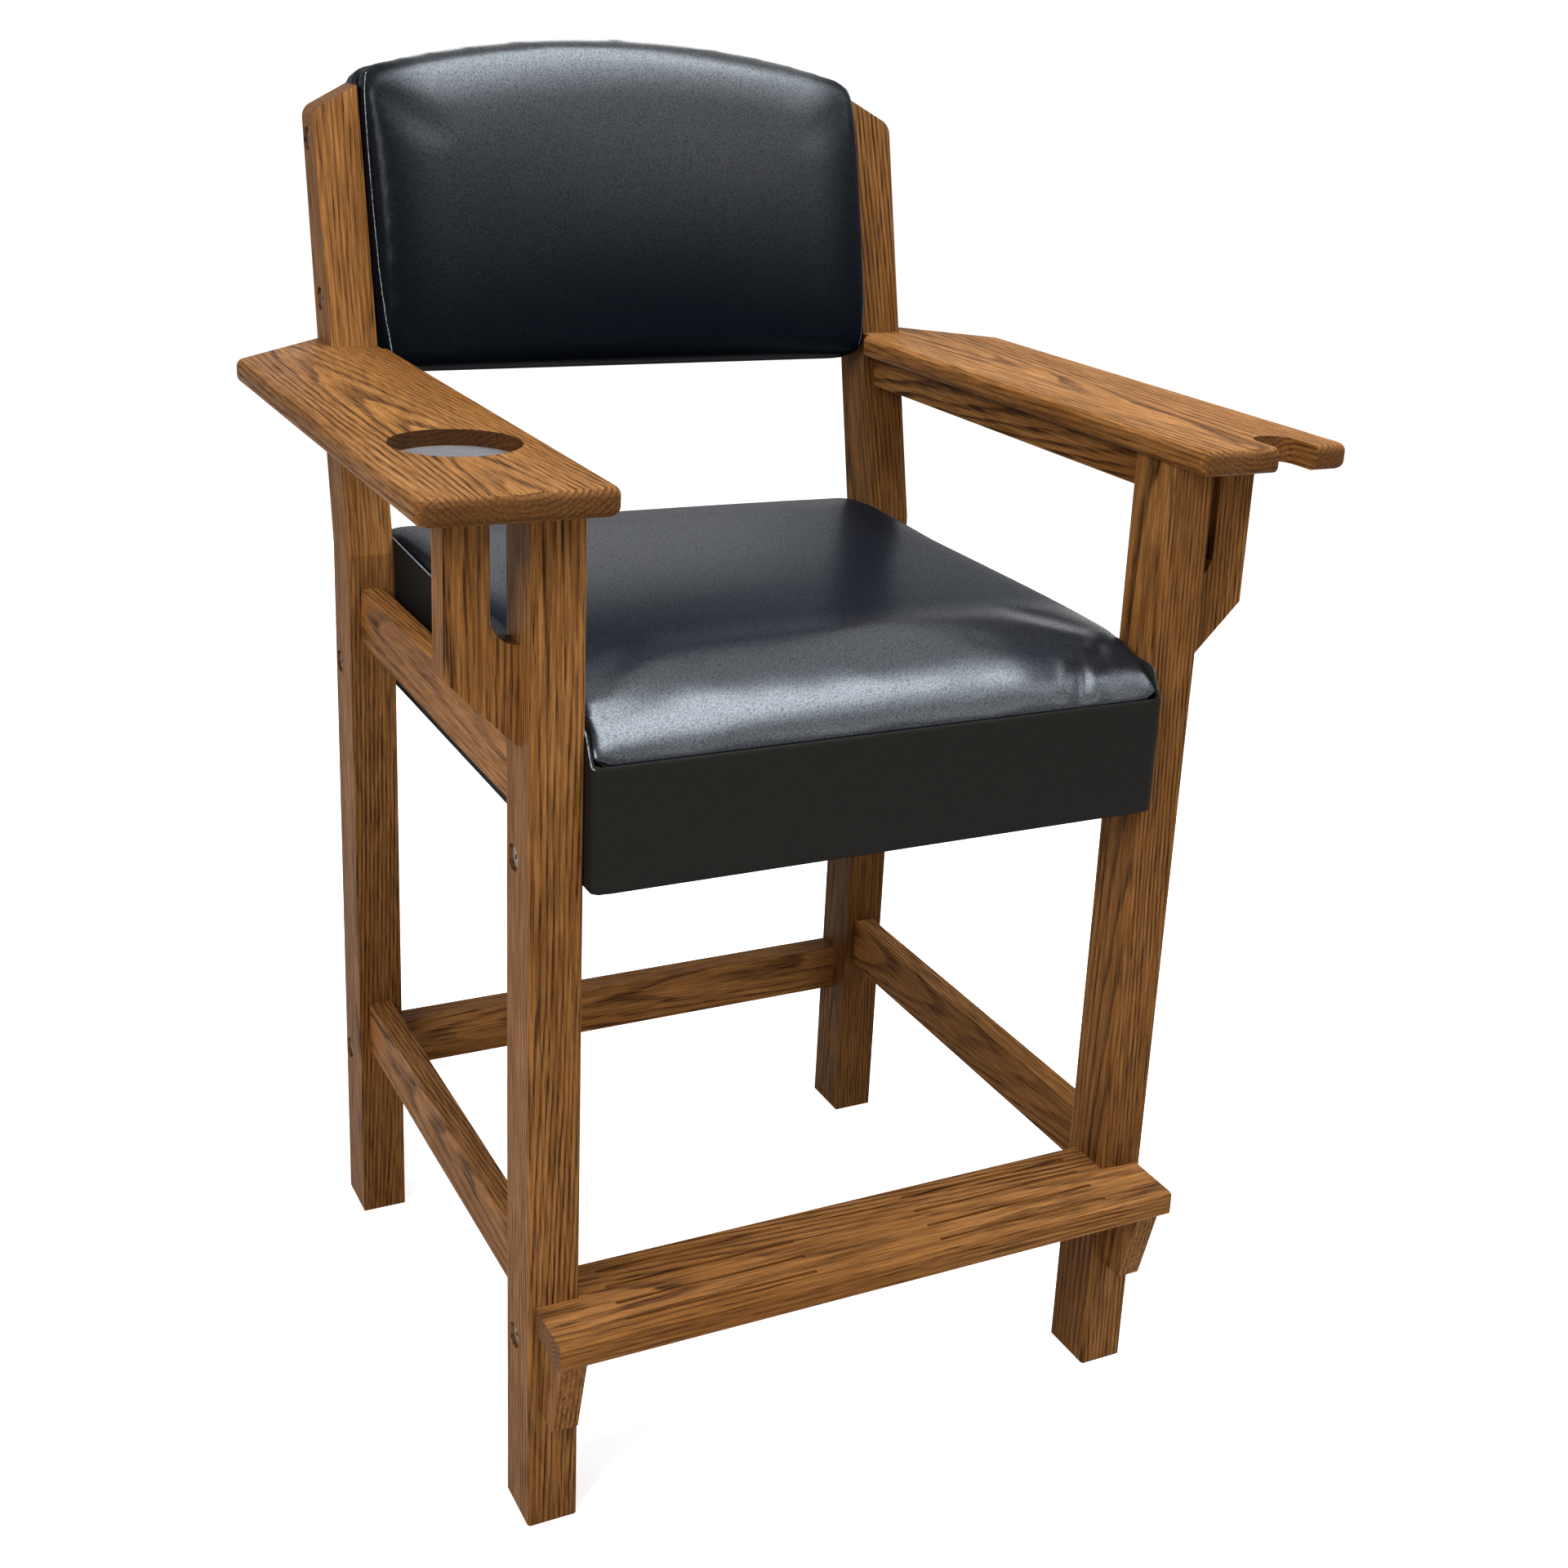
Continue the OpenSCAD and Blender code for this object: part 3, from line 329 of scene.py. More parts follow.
for board, along in {"seat_front_board": "x", "seat_back_board": "x", "seat_side_board_left": "y",
                     "seat_side_board_right": "y", "seat_corner_blocks": "z", "seat_deck": "x",
                     "back_core": "x", "frame_dowels": "y"}.items():
    dress(board, plain_wood(f"plain {board}", along))
bronzed = bronze("bronzed steel")
for node in ("connector_bolts", "barrel_nuts", "wood_screws"):
    dress(node, bronzed)
dress("cup_liner", felt("grey felt"))
print("hidden boards, fastenings and lining are finished")

# %% [markdown]
# The upholstery is black vinyl with a fine pebble grain. Up close the pebbles are rounded bumps a
# little over a millimetre across, with narrow creases between them. From a distance they only break
# up the shine, which is why the rolled edges look frosted where they catch the light; in the clear
# skin that frosting is a painted glint laid over the pebbles. The shine is one clear skin over a
# matt ground. How strongly the skin shines is painted sheen: it is strongest along the seat's front
# roll and the pad's upper edge, where the highlights fall, and faint low on the pad and at its
# sides. The seat's ground colour is lifted towards blue as painted sheen, and the back's ground is
# darker as painted shade, though both are one vinyl.

# %% Black vinyl
FLAT_SHINE = 0.1


def vinyl(name, pebble=820.0, depth=0.00022, rough=0.29, dye_and_painted_light=(0.0030, 0.0050, 0.0080),
          painted_sheen=None, painted_speck=0.30):
    """Pebble grained vinyl: cell shaped bumps over slow unevenness, with a thin clear skin.

    painted_sheen takes the place and gives how strongly the skin shines there, from 0 to 1, as painted sheen.
    painted_speck is how far the colour goes down between the pebbles and up on them, a painted glint.
    """
    material, shader, place = finish(name)
    wobble = place + place.cloud(90.0, 1.0) * 0.004
    bump = wobble.cells(pebble)
    crease = 1 - bump.ease(0.12, 0.72)
    fine = place.cloud(2600.0, 2.0)
    slow = place.cloud(14.0, 2.0)
    height = crease * 0.85 + fine * 0.15
    glint = 0.50 + crease * 0.70 + fine * 0.40
    # The base colour swings with the grain as a painted glint, round a ground that is partly the vinyl's dye
    # and partly painted light.
    feed(shader, Base_Color=crease.tint([c * (1 - painted_speck) for c in dye_and_painted_light], [c * (1 + painted_speck) for c in dye_and_painted_light]),
         Roughness=rough + (1 - crease) * 0.14 + (slow - 0.5) * 0.10, Normal=height.raised(depth, 0.9))
    # Coat Weight carries painted sheen: the mask places the shine where the highlights fall, and glint paints
    # a pebble glint into it.
    feed(shader, Specular_IOR_Level=0.0, Coat_Roughness=rough,
         Coat_Weight=painted_sheen(start_of(place)) * glint if painted_sheen else FLAT_SHINE)
    return material


def painted_sheen_front(place):
    """Painted sheen: the seat's clear skin shines most along its front edge, where the highlight of the roll
    falls.
    """
    y = place.lay("ShaderNodeSeparateXYZ", {0: place}, pick=1)
    return 0.30 + (1 - y.ease(-0.26, -0.16)) * 0.70


def painted_sheen_top(place):
    """Painted sheen: the back pad's skin shines most along its upper edge, where the highlight falls, and
    least low down; at the sides it is weakened as painted shade.
    """
    x, z = (place.lay("ShaderNodeSeparateXYZ", {0: place}, pick=k) for k in (0, 2))
    # Painted shade on the sheen at the pad's left and right edges.
    sides = (x * x).ease(0.038, 0.060)
    z = z + x * x * 0.5
    return 0.04 + (z.ease(0.94, 1.14) * 0.42 + z.ease(1.165, 1.208) * 0.44) * (1 - sides * 0.80)


# The seat's ground is lifted towards blue as painted sheen and the back's is darker as painted shade; the
# flat panels keep the vinyl's own colour.
black_vinyl = vinyl("black vinyl of the seat", painted_sheen=painted_sheen_front)
back_vinyl = vinyl("black vinyl of the back", rough=0.31, dye_and_painted_light=(0.0022, 0.0031, 0.0046), painted_sheen=painted_sheen_top)
flat_vinyl = vinyl("black vinyl of the flat panels", 760.0, 0.00001, 0.55, (0.0105, 0.0093, 0.0076),
                   painted_speck=0.05)
for node in ("seat_dust_cover", "back_rear_panel"):
    dress(node, flat_vinyl)
print("vinyl is mixed")

# %% [markdown]
# Every padded piece starts as a surface on a grid. One number runs round the piece and the other
# runs from the middle of its underside, out to the rim, up and over the edge and in to the middle
# of its face. The helpers below join such a grid into a closed mesh and put it into the scene.

# %% From grids to meshes
def closed_mesh(name, rings, low, high):
    """rings is (levels, around, 3). Each ring closes on itself, and low and high close the two ends."""
    levels, around = rings.shape[:2]
    points = np.vstack([rings.reshape(-1, 3), low, high])
    row, col = np.meshgrid(np.arange(levels - 1), np.arange(around), indexing="ij")
    a, b = row * around + col, row * around + (col + 1) % around
    quads = np.stack([a, b, b + around, a + around], axis=-1).reshape(-1, 4)
    i = np.arange(around)
    j = (i + 1) % around
    under = np.stack([j, i, np.full(around, levels * around)], axis=-1)
    top = (levels - 1) * around
    over = np.stack([top + i, top + j, np.full(around, levels * around + 1)], axis=-1)
    return to_object(name, points, [*quads.tolist(), *under.tolist(), *over.tolist()])


def to_object(name, points, faces):
    """Makes the mesh and its object, and puts it into the scene."""
    mesh = bpy.data.meshes.new(name)
    mesh.from_pydata(points.tolist(), [], faces)
    mesh.validate()
    made = bpy.data.objects.new(name, mesh)
    bpy.context.collection.objects.link(made)
    return made


def smooth(made):
    """Shades every face of the mesh smoothly."""
    made.data.polygons.foreach_set("use_smooth", np.ones(len(made.data.polygons), dtype=bool))
    made.data.update()
    return made


def points_of(made):
    """The mesh's points as one array."""
    flat = np.empty(len(made.data.vertices) * 3)
    made.data.vertices.foreach_get("co", flat)
    return flat.reshape(-1, 3)


def put_points(made, points):
    """Writes an array of points back into the mesh."""
    made.data.vertices.foreach_set("co", points.ravel())
    made.data.update()


def step(x, low, high):
    """0 under low, 1 over high, with a smooth run between: 3t^2 - 2t^3."""
    t = np.clip((x - low) / (high - low), 0, 1)
    return t * t * (3 - 2 * t)


def tube(name, path, radius, around=8):
    """A round cord along a path: circles of the given radius square to it, with blunt pointed ends."""
    ahead = np.gradient(path, axis=0)
    ahead /= np.linalg.norm(ahead, axis=1, keepdims=True)
    guide = np.array([0.31, 0.52, 0.79])
    across = np.cross(ahead, guide)
    across /= np.linalg.norm(across, axis=1, keepdims=True)
    upward = np.cross(across, ahead)
    angle = np.linspace(0, 2 * np.pi, around, endpoint=False)
    circle = (np.cos(angle)[None, :, None] * across[:, None] + np.sin(angle)[None, :, None] * upward[:, None])
    blunt = radius * 0.4
    made = closed_mesh(name, path[:, None] + radius * circle,
                       path[0] - ahead[0] * blunt, path[-1] + ahead[-1] * blunt)
    bpy.context.view_layer.objects.active = made
    made.select_set(True)
    bpy.ops.object.mode_set(mode="EDIT")
    bpy.ops.mesh.select_all(action="SELECT")
    bpy.ops.mesh.normals_make_consistent(inside=False)
    bpy.ops.object.mode_set(mode="OBJECT")
    made.select_set(False)
    return smooth(made)


print("grid helpers are ready")

# %% [markdown]
# The seat is a box of boards with a thick foam slab on it. Its cover has a top panel that is sewn
# to a band round the sides, so a seam runs along the top edge of each side. At the front the top
# panel rolls over the edge and swells, because nothing but foam is behind it there. The cushion is
# blown up as cloth: its skin is held where the boards are and swells where only foam pushes back.

# %% Where the seat lies
FRONT = -0.315191
SEAT_X, SEAT_NEAR, SEAT_FAR = 0.2652, FRONT - 0.018, FRONT + 0.5896
SEAT_FOOT, DECK_TOP, SEAT_R = 0.598, 0.698, 0.0048
CUSHION_FRONT, BAND_FRONT, CREST = 0.7030, 0.7042, 0.758


def seam_height(y):
    """The seam climbs evenly from 728 mm at the front legs by 40 mm in each metre of depth."""
    return 0.728 + 0.040 * (y - FRONT)


def edge_height(y, front_height, reach=0.022):
    """The seam's height along the sides, front_height across the front, and 12 mm lower at the back."""
    front = 1 - step(y, SEAT_NEAR + 0.002, SEAT_NEAR + reach)
    far = np.clip(1 - (SEAT_FAR - y) / 0.06, 0, 1) ** 2
    return seam_height(y) * (1 - front) + front_height * front - 0.012 * far


def even_plan(half, near, far, r, count):
    """Points at even steps round a rectangle with quarter circle corners, found by arc length."""
    heart = np.array([[half - r, far - r], [r - half, far - r], [r - half, near + r], [half - r, near + r]])
    turn = np.linspace(0, np.pi / 2, 14) + np.arange(4)[:, None] * np.pi / 2
    line = (heart[:, None] + r * np.stack([np.cos(turn), np.sin(turn)], -1)).reshape(-1, 2)
    line = np.vstack([line, line[:1]])
    run = np.r_[0, np.cumsum(np.linalg.norm(np.diff(line, axis=0), axis=1))]
    even = np.linspace(0, run[-1], count, endpoint=False)
    return np.stack([np.interp(even, run, line[:, k]) for k in (0, 1)], -1)


print("seam from", round(seam_height(FRONT) * 1000), "to", round(seam_height(SEAT_FAR) * 1000), "mm")

# %% [markdown]
# The seat's foam is thickest along its middle, where it was built up under the cover, and its front
# edge was cut back to a long slope so that it doesn't press behind the knees. The cover draws the
# side edges down tightly to the seam. A grid of rings says this best: each ring is the plan of the
# seat, drawn in a little further and lifted a little higher than the one before.

# %% Shape of the seat cushion before it swells
def seat_form(count=300):
    """Rings of the plan: first up the rolled edge from the seam, then across the top to the middle.

    Roll, with a from b to e: in = W (cos b - cos a) / (cos b - cos e), and
    up = H (sin a - sin b) / (sin e - sin b). At the sides W is 11 mm and the roll starts upright (b = 0).
    Across the front W is 78 mm at the corners and 95 mm in between. There the roll starts on a slope
    (b = 0.70), ends as level as the top (e = 1.52) and swells forward by 3 mm sin(pi t), where t runs
    from 0 at its foot to 1 at its upper end.
    Top: the side height is the seam + 15 mm in front, + 5 mm at the back, + 4 mm (1 - u^2), with u from
    -1 to 1 in depth. It rises with 1 - |x / X|^2.6 to a level 758 mm along the middle, and everything
    falls by 6 mm at the back edge.
    """
    plan = even_plan(SEAT_X, SEAT_NEAR, SEAT_FAR, SEAT_R, count)
    middle_y, half_y = (SEAT_NEAR + SEAT_FAR) / 2, (SEAT_FAR - SEAT_NEAR) / 2
    depth = plan[:, 1] - SEAT_NEAR
    front = 1 - step(depth, 0.002, 0.024)
    seam = edge_height(plan[:, 1], CUSHION_FRONT, 0.024)
    lip = front * (1 - np.abs(plan[:, 0] / SEAT_X) ** 14)
    deep = 0.078 + 0.017 * (1 - np.abs(plan[:, 0] / SEAT_X) ** 8)
    first, last = 0.70 * front, 1.35 + 0.17 * front

    def top_height(x, y):
        u = (y - middle_y) / half_y
        side = (seam_height(y) + 0.015 - 0.010 * step(y, SEAT_NEAR + 0.10, SEAT_NEAR + 0.48)
                + 0.004 * (1 - u ** 2))
        return (side + (CREST - side) * (1 - np.abs(x / SEAT_X) ** 2.6)
                - 0.006 * np.clip((y - SEAT_FAR + 0.09) / 0.09, 0, 1) ** 2)

    def ring(t, tuck):
        """t runs from the seam (0) to the rim (1). tuck is how far the skin hides behind the band."""
        a = first + t * (last - first)
        inward = (np.cos(first) - np.cos(a)) / (np.cos(first) - np.cos(last))
        s, f, b = tuck + 0.0110 * inward, tuck * 0.4 + deep * inward, tuck + 0.0172 * inward
        y = SEAT_NEAR + f + (SEAT_FAR - b - SEAT_NEAR - f) * depth / (2 * half_y)
        x = plan[:, 0] * (1 - s / SEAT_X)
        up = (np.sin(a) - np.sin(first)) / (np.sin(last) - np.sin(first))
        swollen = y - 0.003 * np.sin(np.pi * t) * lip
        return np.stack([x, swollen, up], -1), x, y

    rim, rim_x, rim_y = ring(1.0, 0.0)
    rim[:, 2] = top_height(rim_x, rim_y)

    def level_ring(t, tuck):
        made = ring(t, tuck)[0]
        return np.column_stack([made[:, :2], seam + (rim[:, 2] - seam) * made[:, 2]])

    inner = level_ring(0.0, 0.0035) + (0, 0, -0.0015)
    low = [inner * (1, 1, 0) + (0, 0, z) for z in (DECK_TOP + 0.0005, DECK_TOP + 0.004)]
    sides = [level_ring(t, 0.0005) for t in np.linspace(0.04, 1, 16)]
    domes = []
    for s in np.linspace(0.975, 0.03, 36):
        x, y = rim[:, 0] * s, middle_y + (rim[:, 1] - middle_y) * s
        domes.append(np.column_stack([x, y, top_height(x, y)]))
    return np.stack([*low, inner, *sides, *domes]), np.array([0, middle_y, top_height(0.0, middle_y)])


rings, middle = seat_form()
seat_cushion = closed_mesh("seat_cushion", rings, middle * (1, 1, 0) + (0, 0, DECK_TOP + 0.0005), middle)
print("seat cushion before swelling:", len(seat_cushion.data.vertices), "points, top at",
      round(float(rings[..., 2].max()) * 1000, 1), "mm")

# %% [markdown]
# Cloth with air pressure inside behaves much like vinyl stretched over foam. The skin is first
# remeshed to even squares, then held wherever it is glued or sewn. A limit on how far a point may
# travel keeps the swollen form near the size of the real pad.

# %% Swelling by cloth simulation
def apply_all(made):
    """Turns what the modifiers show into the mesh itself."""
    seen = made.evaluated_get(bpy.context.evaluated_depsgraph_get())
    mesh = bpy.data.meshes.new_from_object(seen)
    old, made.data = made.data, mesh
    made.modifiers.clear()
    bpy.data.meshes.remove(old)


def swell(made, held, voxel=0.0065, pressure=1.0, cap=0.0022, frames=16, even=6, after=9):
    """Remesh, smooth, blow up as cloth with the held points pinned, then limit each point's way to cap."""
    name = made.data.name
    made.modifiers.new("squares", "REMESH").voxel_size = voxel
    ease = made.modifiers.new("ease", "SMOOTH")
    ease.factor, ease.iterations = 0.5, even
    apply_all(made)
    start = points_of(made)
    pins = made.vertex_groups.new(name="held")
    weight = held(start)
    for level in np.unique(weight):
        pins.add(np.flatnonzero(weight == level).tolist(), float(level), "REPLACE")
    cloth = made.modifiers.new("skin", "CLOTH").settings
    cloth.vertex_group_mass, cloth.quality, cloth.mass = "held", 6, 0.4
    cloth.tension_stiffness = cloth.compression_stiffness = cloth.shear_stiffness = 22
    cloth.bending_stiffness = 12
    cloth.use_pressure, cloth.uniform_pressure_force = True, pressure
    cloth.effector_weights.gravity = 0
    made.modifiers["skin"].point_cache.frame_end = frames
    for frame_number in range(1, frames + 1):
        bpy.context.scene.frame_set(frame_number)
    apply_all(made)
    made.vertex_groups.clear()
    way = points_of(made) - start
    reach = np.linalg.norm(way, axis=1, keepdims=True)
    put_points(made, start + way * np.minimum(1, cap / np.maximum(reach, 1e-9)))
    bpy.context.scene.frame_set(1)
    print(made.name, "swelled by up to", round(float(reach.max()) * 1000, 1), "mm, kept to", cap * 1000)
    ease = made.modifiers.new("ease", "SMOOTH")
    ease.factor, ease.iterations = 0.5, after
    finer = made.modifiers.new("finer", "SUBSURF")
    finer.levels = finer.render_levels = 1
    apply_all(made)
    made.data.name = name
    return smooth(made)


def seat_held(p):
    """1 up to 4 mm under the seam, 0 from 4 mm over it, in steps of a tenth."""
    seam = np.where(p[:, 1] < SEAT_NEAR + 0.012, 0.6995, seam_height(p[:, 1]) - 0.004)
    return np.round(1 - step(p[:, 2], seam, seam + 0.008), 1)


swell(seat_cushion, seat_held)
print("seat cushion:", len(seat_cushion.data.vertices), "points")

# %% [markdown]
# Vinyl never pulls quite evenly round a corner. At the front right corner two short creases show
# where the spare material was gathered, and along the front the roll has slow, shallow waves.
# They are pressed in after the swelling: each crease is a soft valley round a short line, with a
# low ridge beside it. The foam fills the front corners, so these are drawn out to the band again,
# because the smoothing rounded them off.

# %% Creases at the front of the seat
def crease(p, first, last, width, depth, ridge=0.45):
    """Height at p of a valley round the line first-last: -d exp(-(r/w)^2) + a ridge at 2.1 w."""
    first, last = np.array(first), np.array(last)
    along = last - first
    t = np.clip((p - first) @ along / (along @ along), 0, 1)
    far = np.linalg.norm(p - first - t[:, None] * along, axis=1)
    fade = np.sin(np.pi * (0.12 + 0.76 * t))
    return depth * fade * (-np.exp(-(far / width) ** 2) + ridge * np.exp(-((far - 2.1 * width) / width) ** 2))


def press(made, amount):
    """Moves each point along its own normal by amount."""
    normal = np.empty(len(made.data.vertices) * 3)
    made.data.vertices.foreach_get("normal", normal)
    put_points(made, points_of(made) + normal.reshape(-1, 3) * amount[:, None])


p = points_of(seat_cushion)
lip_zone = step(p[:, 2], 0.704, 0.716) * (1 - step(p[:, 1], FRONT + 0.01, FRONT + 0.05))
waves = 0.0005 * (np.sin(p[:, 0] * 47 + 1.0) + 0.5 * np.sin(p[:, 0] * 93 + 2.2)) * lip_zone
folds = (crease(p, (0.182, FRONT - 0.016, 0.708), (0.202, FRONT + 0.022, 0.739), 0.0075, 0.0021)
         + crease(p, (0.212, FRONT + 0.010, 0.733), (0.232, FRONT + 0.040, 0.748), 0.0070, 0.0017))
press(seat_cushion, waves + folds)
p = points_of(seat_cushion)
full = (step(np.abs(p[:, 0]), SEAT_X - 0.032, SEAT_X - 0.004) * step(p[:, 2], 0.7025, 0.710)
        * (1 - step(p[:, 1], SEAT_NEAR + 0.004, SEAT_NEAR + 0.036)))
outward = np.column_stack([np.sign(p[:, 0]) * 0.0055, np.full(len(p), -0.002), np.zeros(len(p))])
put_points(seat_cushion, p + full[:, None] * outward)
seat_cushion.data.materials.clear()
seat_cushion.data.materials.append(black_vinyl)
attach(seat_cushion, BODY)
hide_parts("seat_foam")
print("creases up to", round(float(np.abs(folds).max()) * 1000, 1), "mm deep")

# %% [markdown]
# Under the seam the cover is a flat band glued to the boards. It is a sheet 2 mm thick with round
# corners. Its lower edge folds under the boards, and its upper edge turns in under the cushion.

# %% The band round the seat box
def wrapped_mesh(name, rings):
    """Like closed_mesh, but the last ring joins the first, which makes a closed loop of skin."""
    levels, around = rings.shape[:2]
    row, col = np.meshgrid(np.arange(levels), np.arange(around), indexing="ij")
    a, b = row * around + col, row * around + (col + 1) % around
    c, d = (row + 1) % levels * around + col, (row + 1) % levels * around + (col + 1) % around
    return to_object(name, rings.reshape(-1, 3), np.stack([a, b, d, c], -1).reshape(-1, 4).tolist())


def band_form(count=340, thick=0.002):
    """The plan carried up from the foot to the seam, round the upper edge and down the inside."""
    plan = even_plan(SEAT_X, SEAT_NEAR, SEAT_FAR, SEAT_R, count)
    inside = even_plan(SEAT_X - thick, SEAT_NEAR + thick, SEAT_FAR - thick, SEAT_R - thick, count)
    half = (plan + inside) / 2
    seam = edge_height(plan[:, 1], BAND_FRONT)
    rise = lambda xy, h: np.column_stack([xy, h])
    up = [rise(plan, SEAT_FOOT + 0.0008 + (seam - 0.0009 - SEAT_FOOT) * t) for t in np.linspace(0, 1, 26)]
    down = [rise(inside, SEAT_FOOT + 0.0008 + (seam - 0.0009 - SEAT_FOOT) * t) for t in np.linspace(1, 0, 8)]
    return np.stack([*up, rise(half, seam), *down, rise(half, np.full(count, SEAT_FOOT))])


seat_band = smooth(wrapped_mesh("seat_band", band_form()))
seat_band.data.materials.append(flat_vinyl)
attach(seat_band, BODY)
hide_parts("seat_cover")
print("seat band:", len(seat_band.data.vertices), "points")

# %% [markdown]
# The seams show as thin pale lines where the cut edge of the vinyl and its thread catch the
# light; that pale is a painted highlight on the left seams, and the right seams are painted dark as
# shade. Each is a fine cord laid along the seam, sunk by half into the skin.

# %% Seams of the seat
def painted_seam_light(name, pale):
    """A seam cord's colour with the dashes of its thread: high pale is a painted highlight, low pale painted
    shade.
    """
    material, shader, place = finish(name)
    dash = place.cloud(420.0, 1.0).ease(0.35, 0.62)
    feed(shader, Base_Color=dash.tint([0.2 * pale] * 3, (pale, pale * 1.03, pale * 1.06)),
         Roughness=0.42 + dash * 0.15, Normal=dash.raised(0.0002, 0.5))
    return material


lit_seam_paint = painted_seam_light("pale edge of the vinyl seams", 0.17)
shaded_seam_paint = painted_seam_light("dull edge of the vinyl seams", 0.02)


def seat_seam(name, side):
    """From the back corner along the upper edge of the band, down with it and round the front corner."""
    y = np.linspace(SEAT_FAR - 0.016, SEAT_NEAR + SEAT_R, 130)
    turn = np.linspace(0, np.pi / 4, 8)[1:]
    x = np.r_[np.full(130, SEAT_X), SEAT_X - SEAT_R + SEAT_R * np.cos(turn)] + 0.0001
    y = np.r_[y, SEAT_NEAR + SEAT_R - (SEAT_R + 0.0001) * np.sin(turn)]
    z = edge_height(y, BAND_FRONT - 0.0015) + 0.0003
    return tube(name, np.column_stack([side * x, y, z]), 0.0007)


for name, side in (("seat_seam_left", -1), ("seat_seam_right", 1)):
    seam = seat_seam(name, side)
    # Painted highlight on the left seam, painted shade on the right one.
    seam.data.materials.append(lit_seam_paint if side < 0 else shaded_seam_paint)
    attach(seam, BODY)
print("seat seams are laid")

# %% [markdown]
# The back pad is held between two posts that lean back. It is easiest to shape it upright and then
# lean it with them. So its points are first given as x, depth behind the posts' front, and way up
# the posts, and one small function turns these into the chair's own frame.

# %% The leaning frame of the posts
KNEE_Y = FRONT + 0.532
PAD_X, PAD_LOW, PAD_SIDE_TOP, ARCH_R, PAD_R = 0.2652, 0.17691, 0.46791, 0.990, 0.018
arch_tilt = math.asin((PAD_X - PAD_R) / (ARCH_R - PAD_R))
ARCH_HEART = PAD_SIDE_TOP - PAD_R - (ARCH_R - PAD_R) * math.cos(arch_tilt)


def lean(p):
    """(x, depth, way up) to the chair's frame: turned by the rake about the line where the posts bend."""
    depth, way = p[..., 1], p[..., 2]
    return np.stack([p[..., 0], KNEE_Y + depth * math.cos(RAKE) + way * math.sin(RAKE),
                     KNEE_Z - depth * math.sin(RAKE) + way * math.cos(RAKE)], -1)


def upright_of(p):
    """The chair's frame back to (x, depth, way up)."""
    y, z = p[..., 1] - KNEE_Y, p[..., 2] - KNEE_Z
    return np.stack([p[..., 0], y * math.cos(RAKE) - z * math.sin(RAKE),
                     y * math.sin(RAKE) + z * math.cos(RAKE)], -1)


def pad_outline(inset, count):
    """Even steps round the pad: an arc of 990 mm across the top, straight sides, round corners."""
    r = PAD_R - inset
    arcs = [(-(PAD_X - PAD_R), PAD_SIDE_TOP - PAD_R, np.pi / 2 + arch_tilt, np.pi),
            (-(PAD_X - PAD_R), PAD_LOW + PAD_R, np.pi, 1.5 * np.pi),
            (PAD_X - PAD_R, PAD_LOW + PAD_R, 1.5 * np.pi, 2 * np.pi),
            (PAD_X - PAD_R, PAD_SIDE_TOP - PAD_R, 0, np.pi / 2 - arch_tilt)]
    turn = np.stack([np.linspace(a, b, 14) for _, _, a, b in arcs])
    heart = np.array([arc[:2] for arc in arcs])[:, None]
    line = (heart + r * np.stack([np.cos(turn), np.sin(turn)], -1)).reshape(-1, 2)
    sweep = np.linspace(np.pi / 2 - arch_tilt, np.pi / 2 + arch_tilt, 80)
    arch = np.stack([(ARCH_R - inset) * np.cos(sweep), ARCH_HEART + (ARCH_R - inset) * np.sin(sweep)], -1)
    line = np.vstack([line, arch[1:]])
    run = np.r_[0, np.cumsum(np.linalg.norm(np.diff(line, axis=0), axis=1))]
    even = np.linspace(0, run[-1], count, endpoint=False)
    return np.stack([np.interp(even, run, line[:, k]) for k in (0, 1)], -1)


print("the arch's middle lies", round(-ARCH_HEART * 1000), "mm below the bend of the posts")

# %% [markdown]
# The front of the pad is a foam slab whose edges are rolled: tightly at the sides and the bottom,
# and more softly over the top, where the light catches it. Like the seat it starts a little too
# thin, and swells as cloth with its sides and rear held.

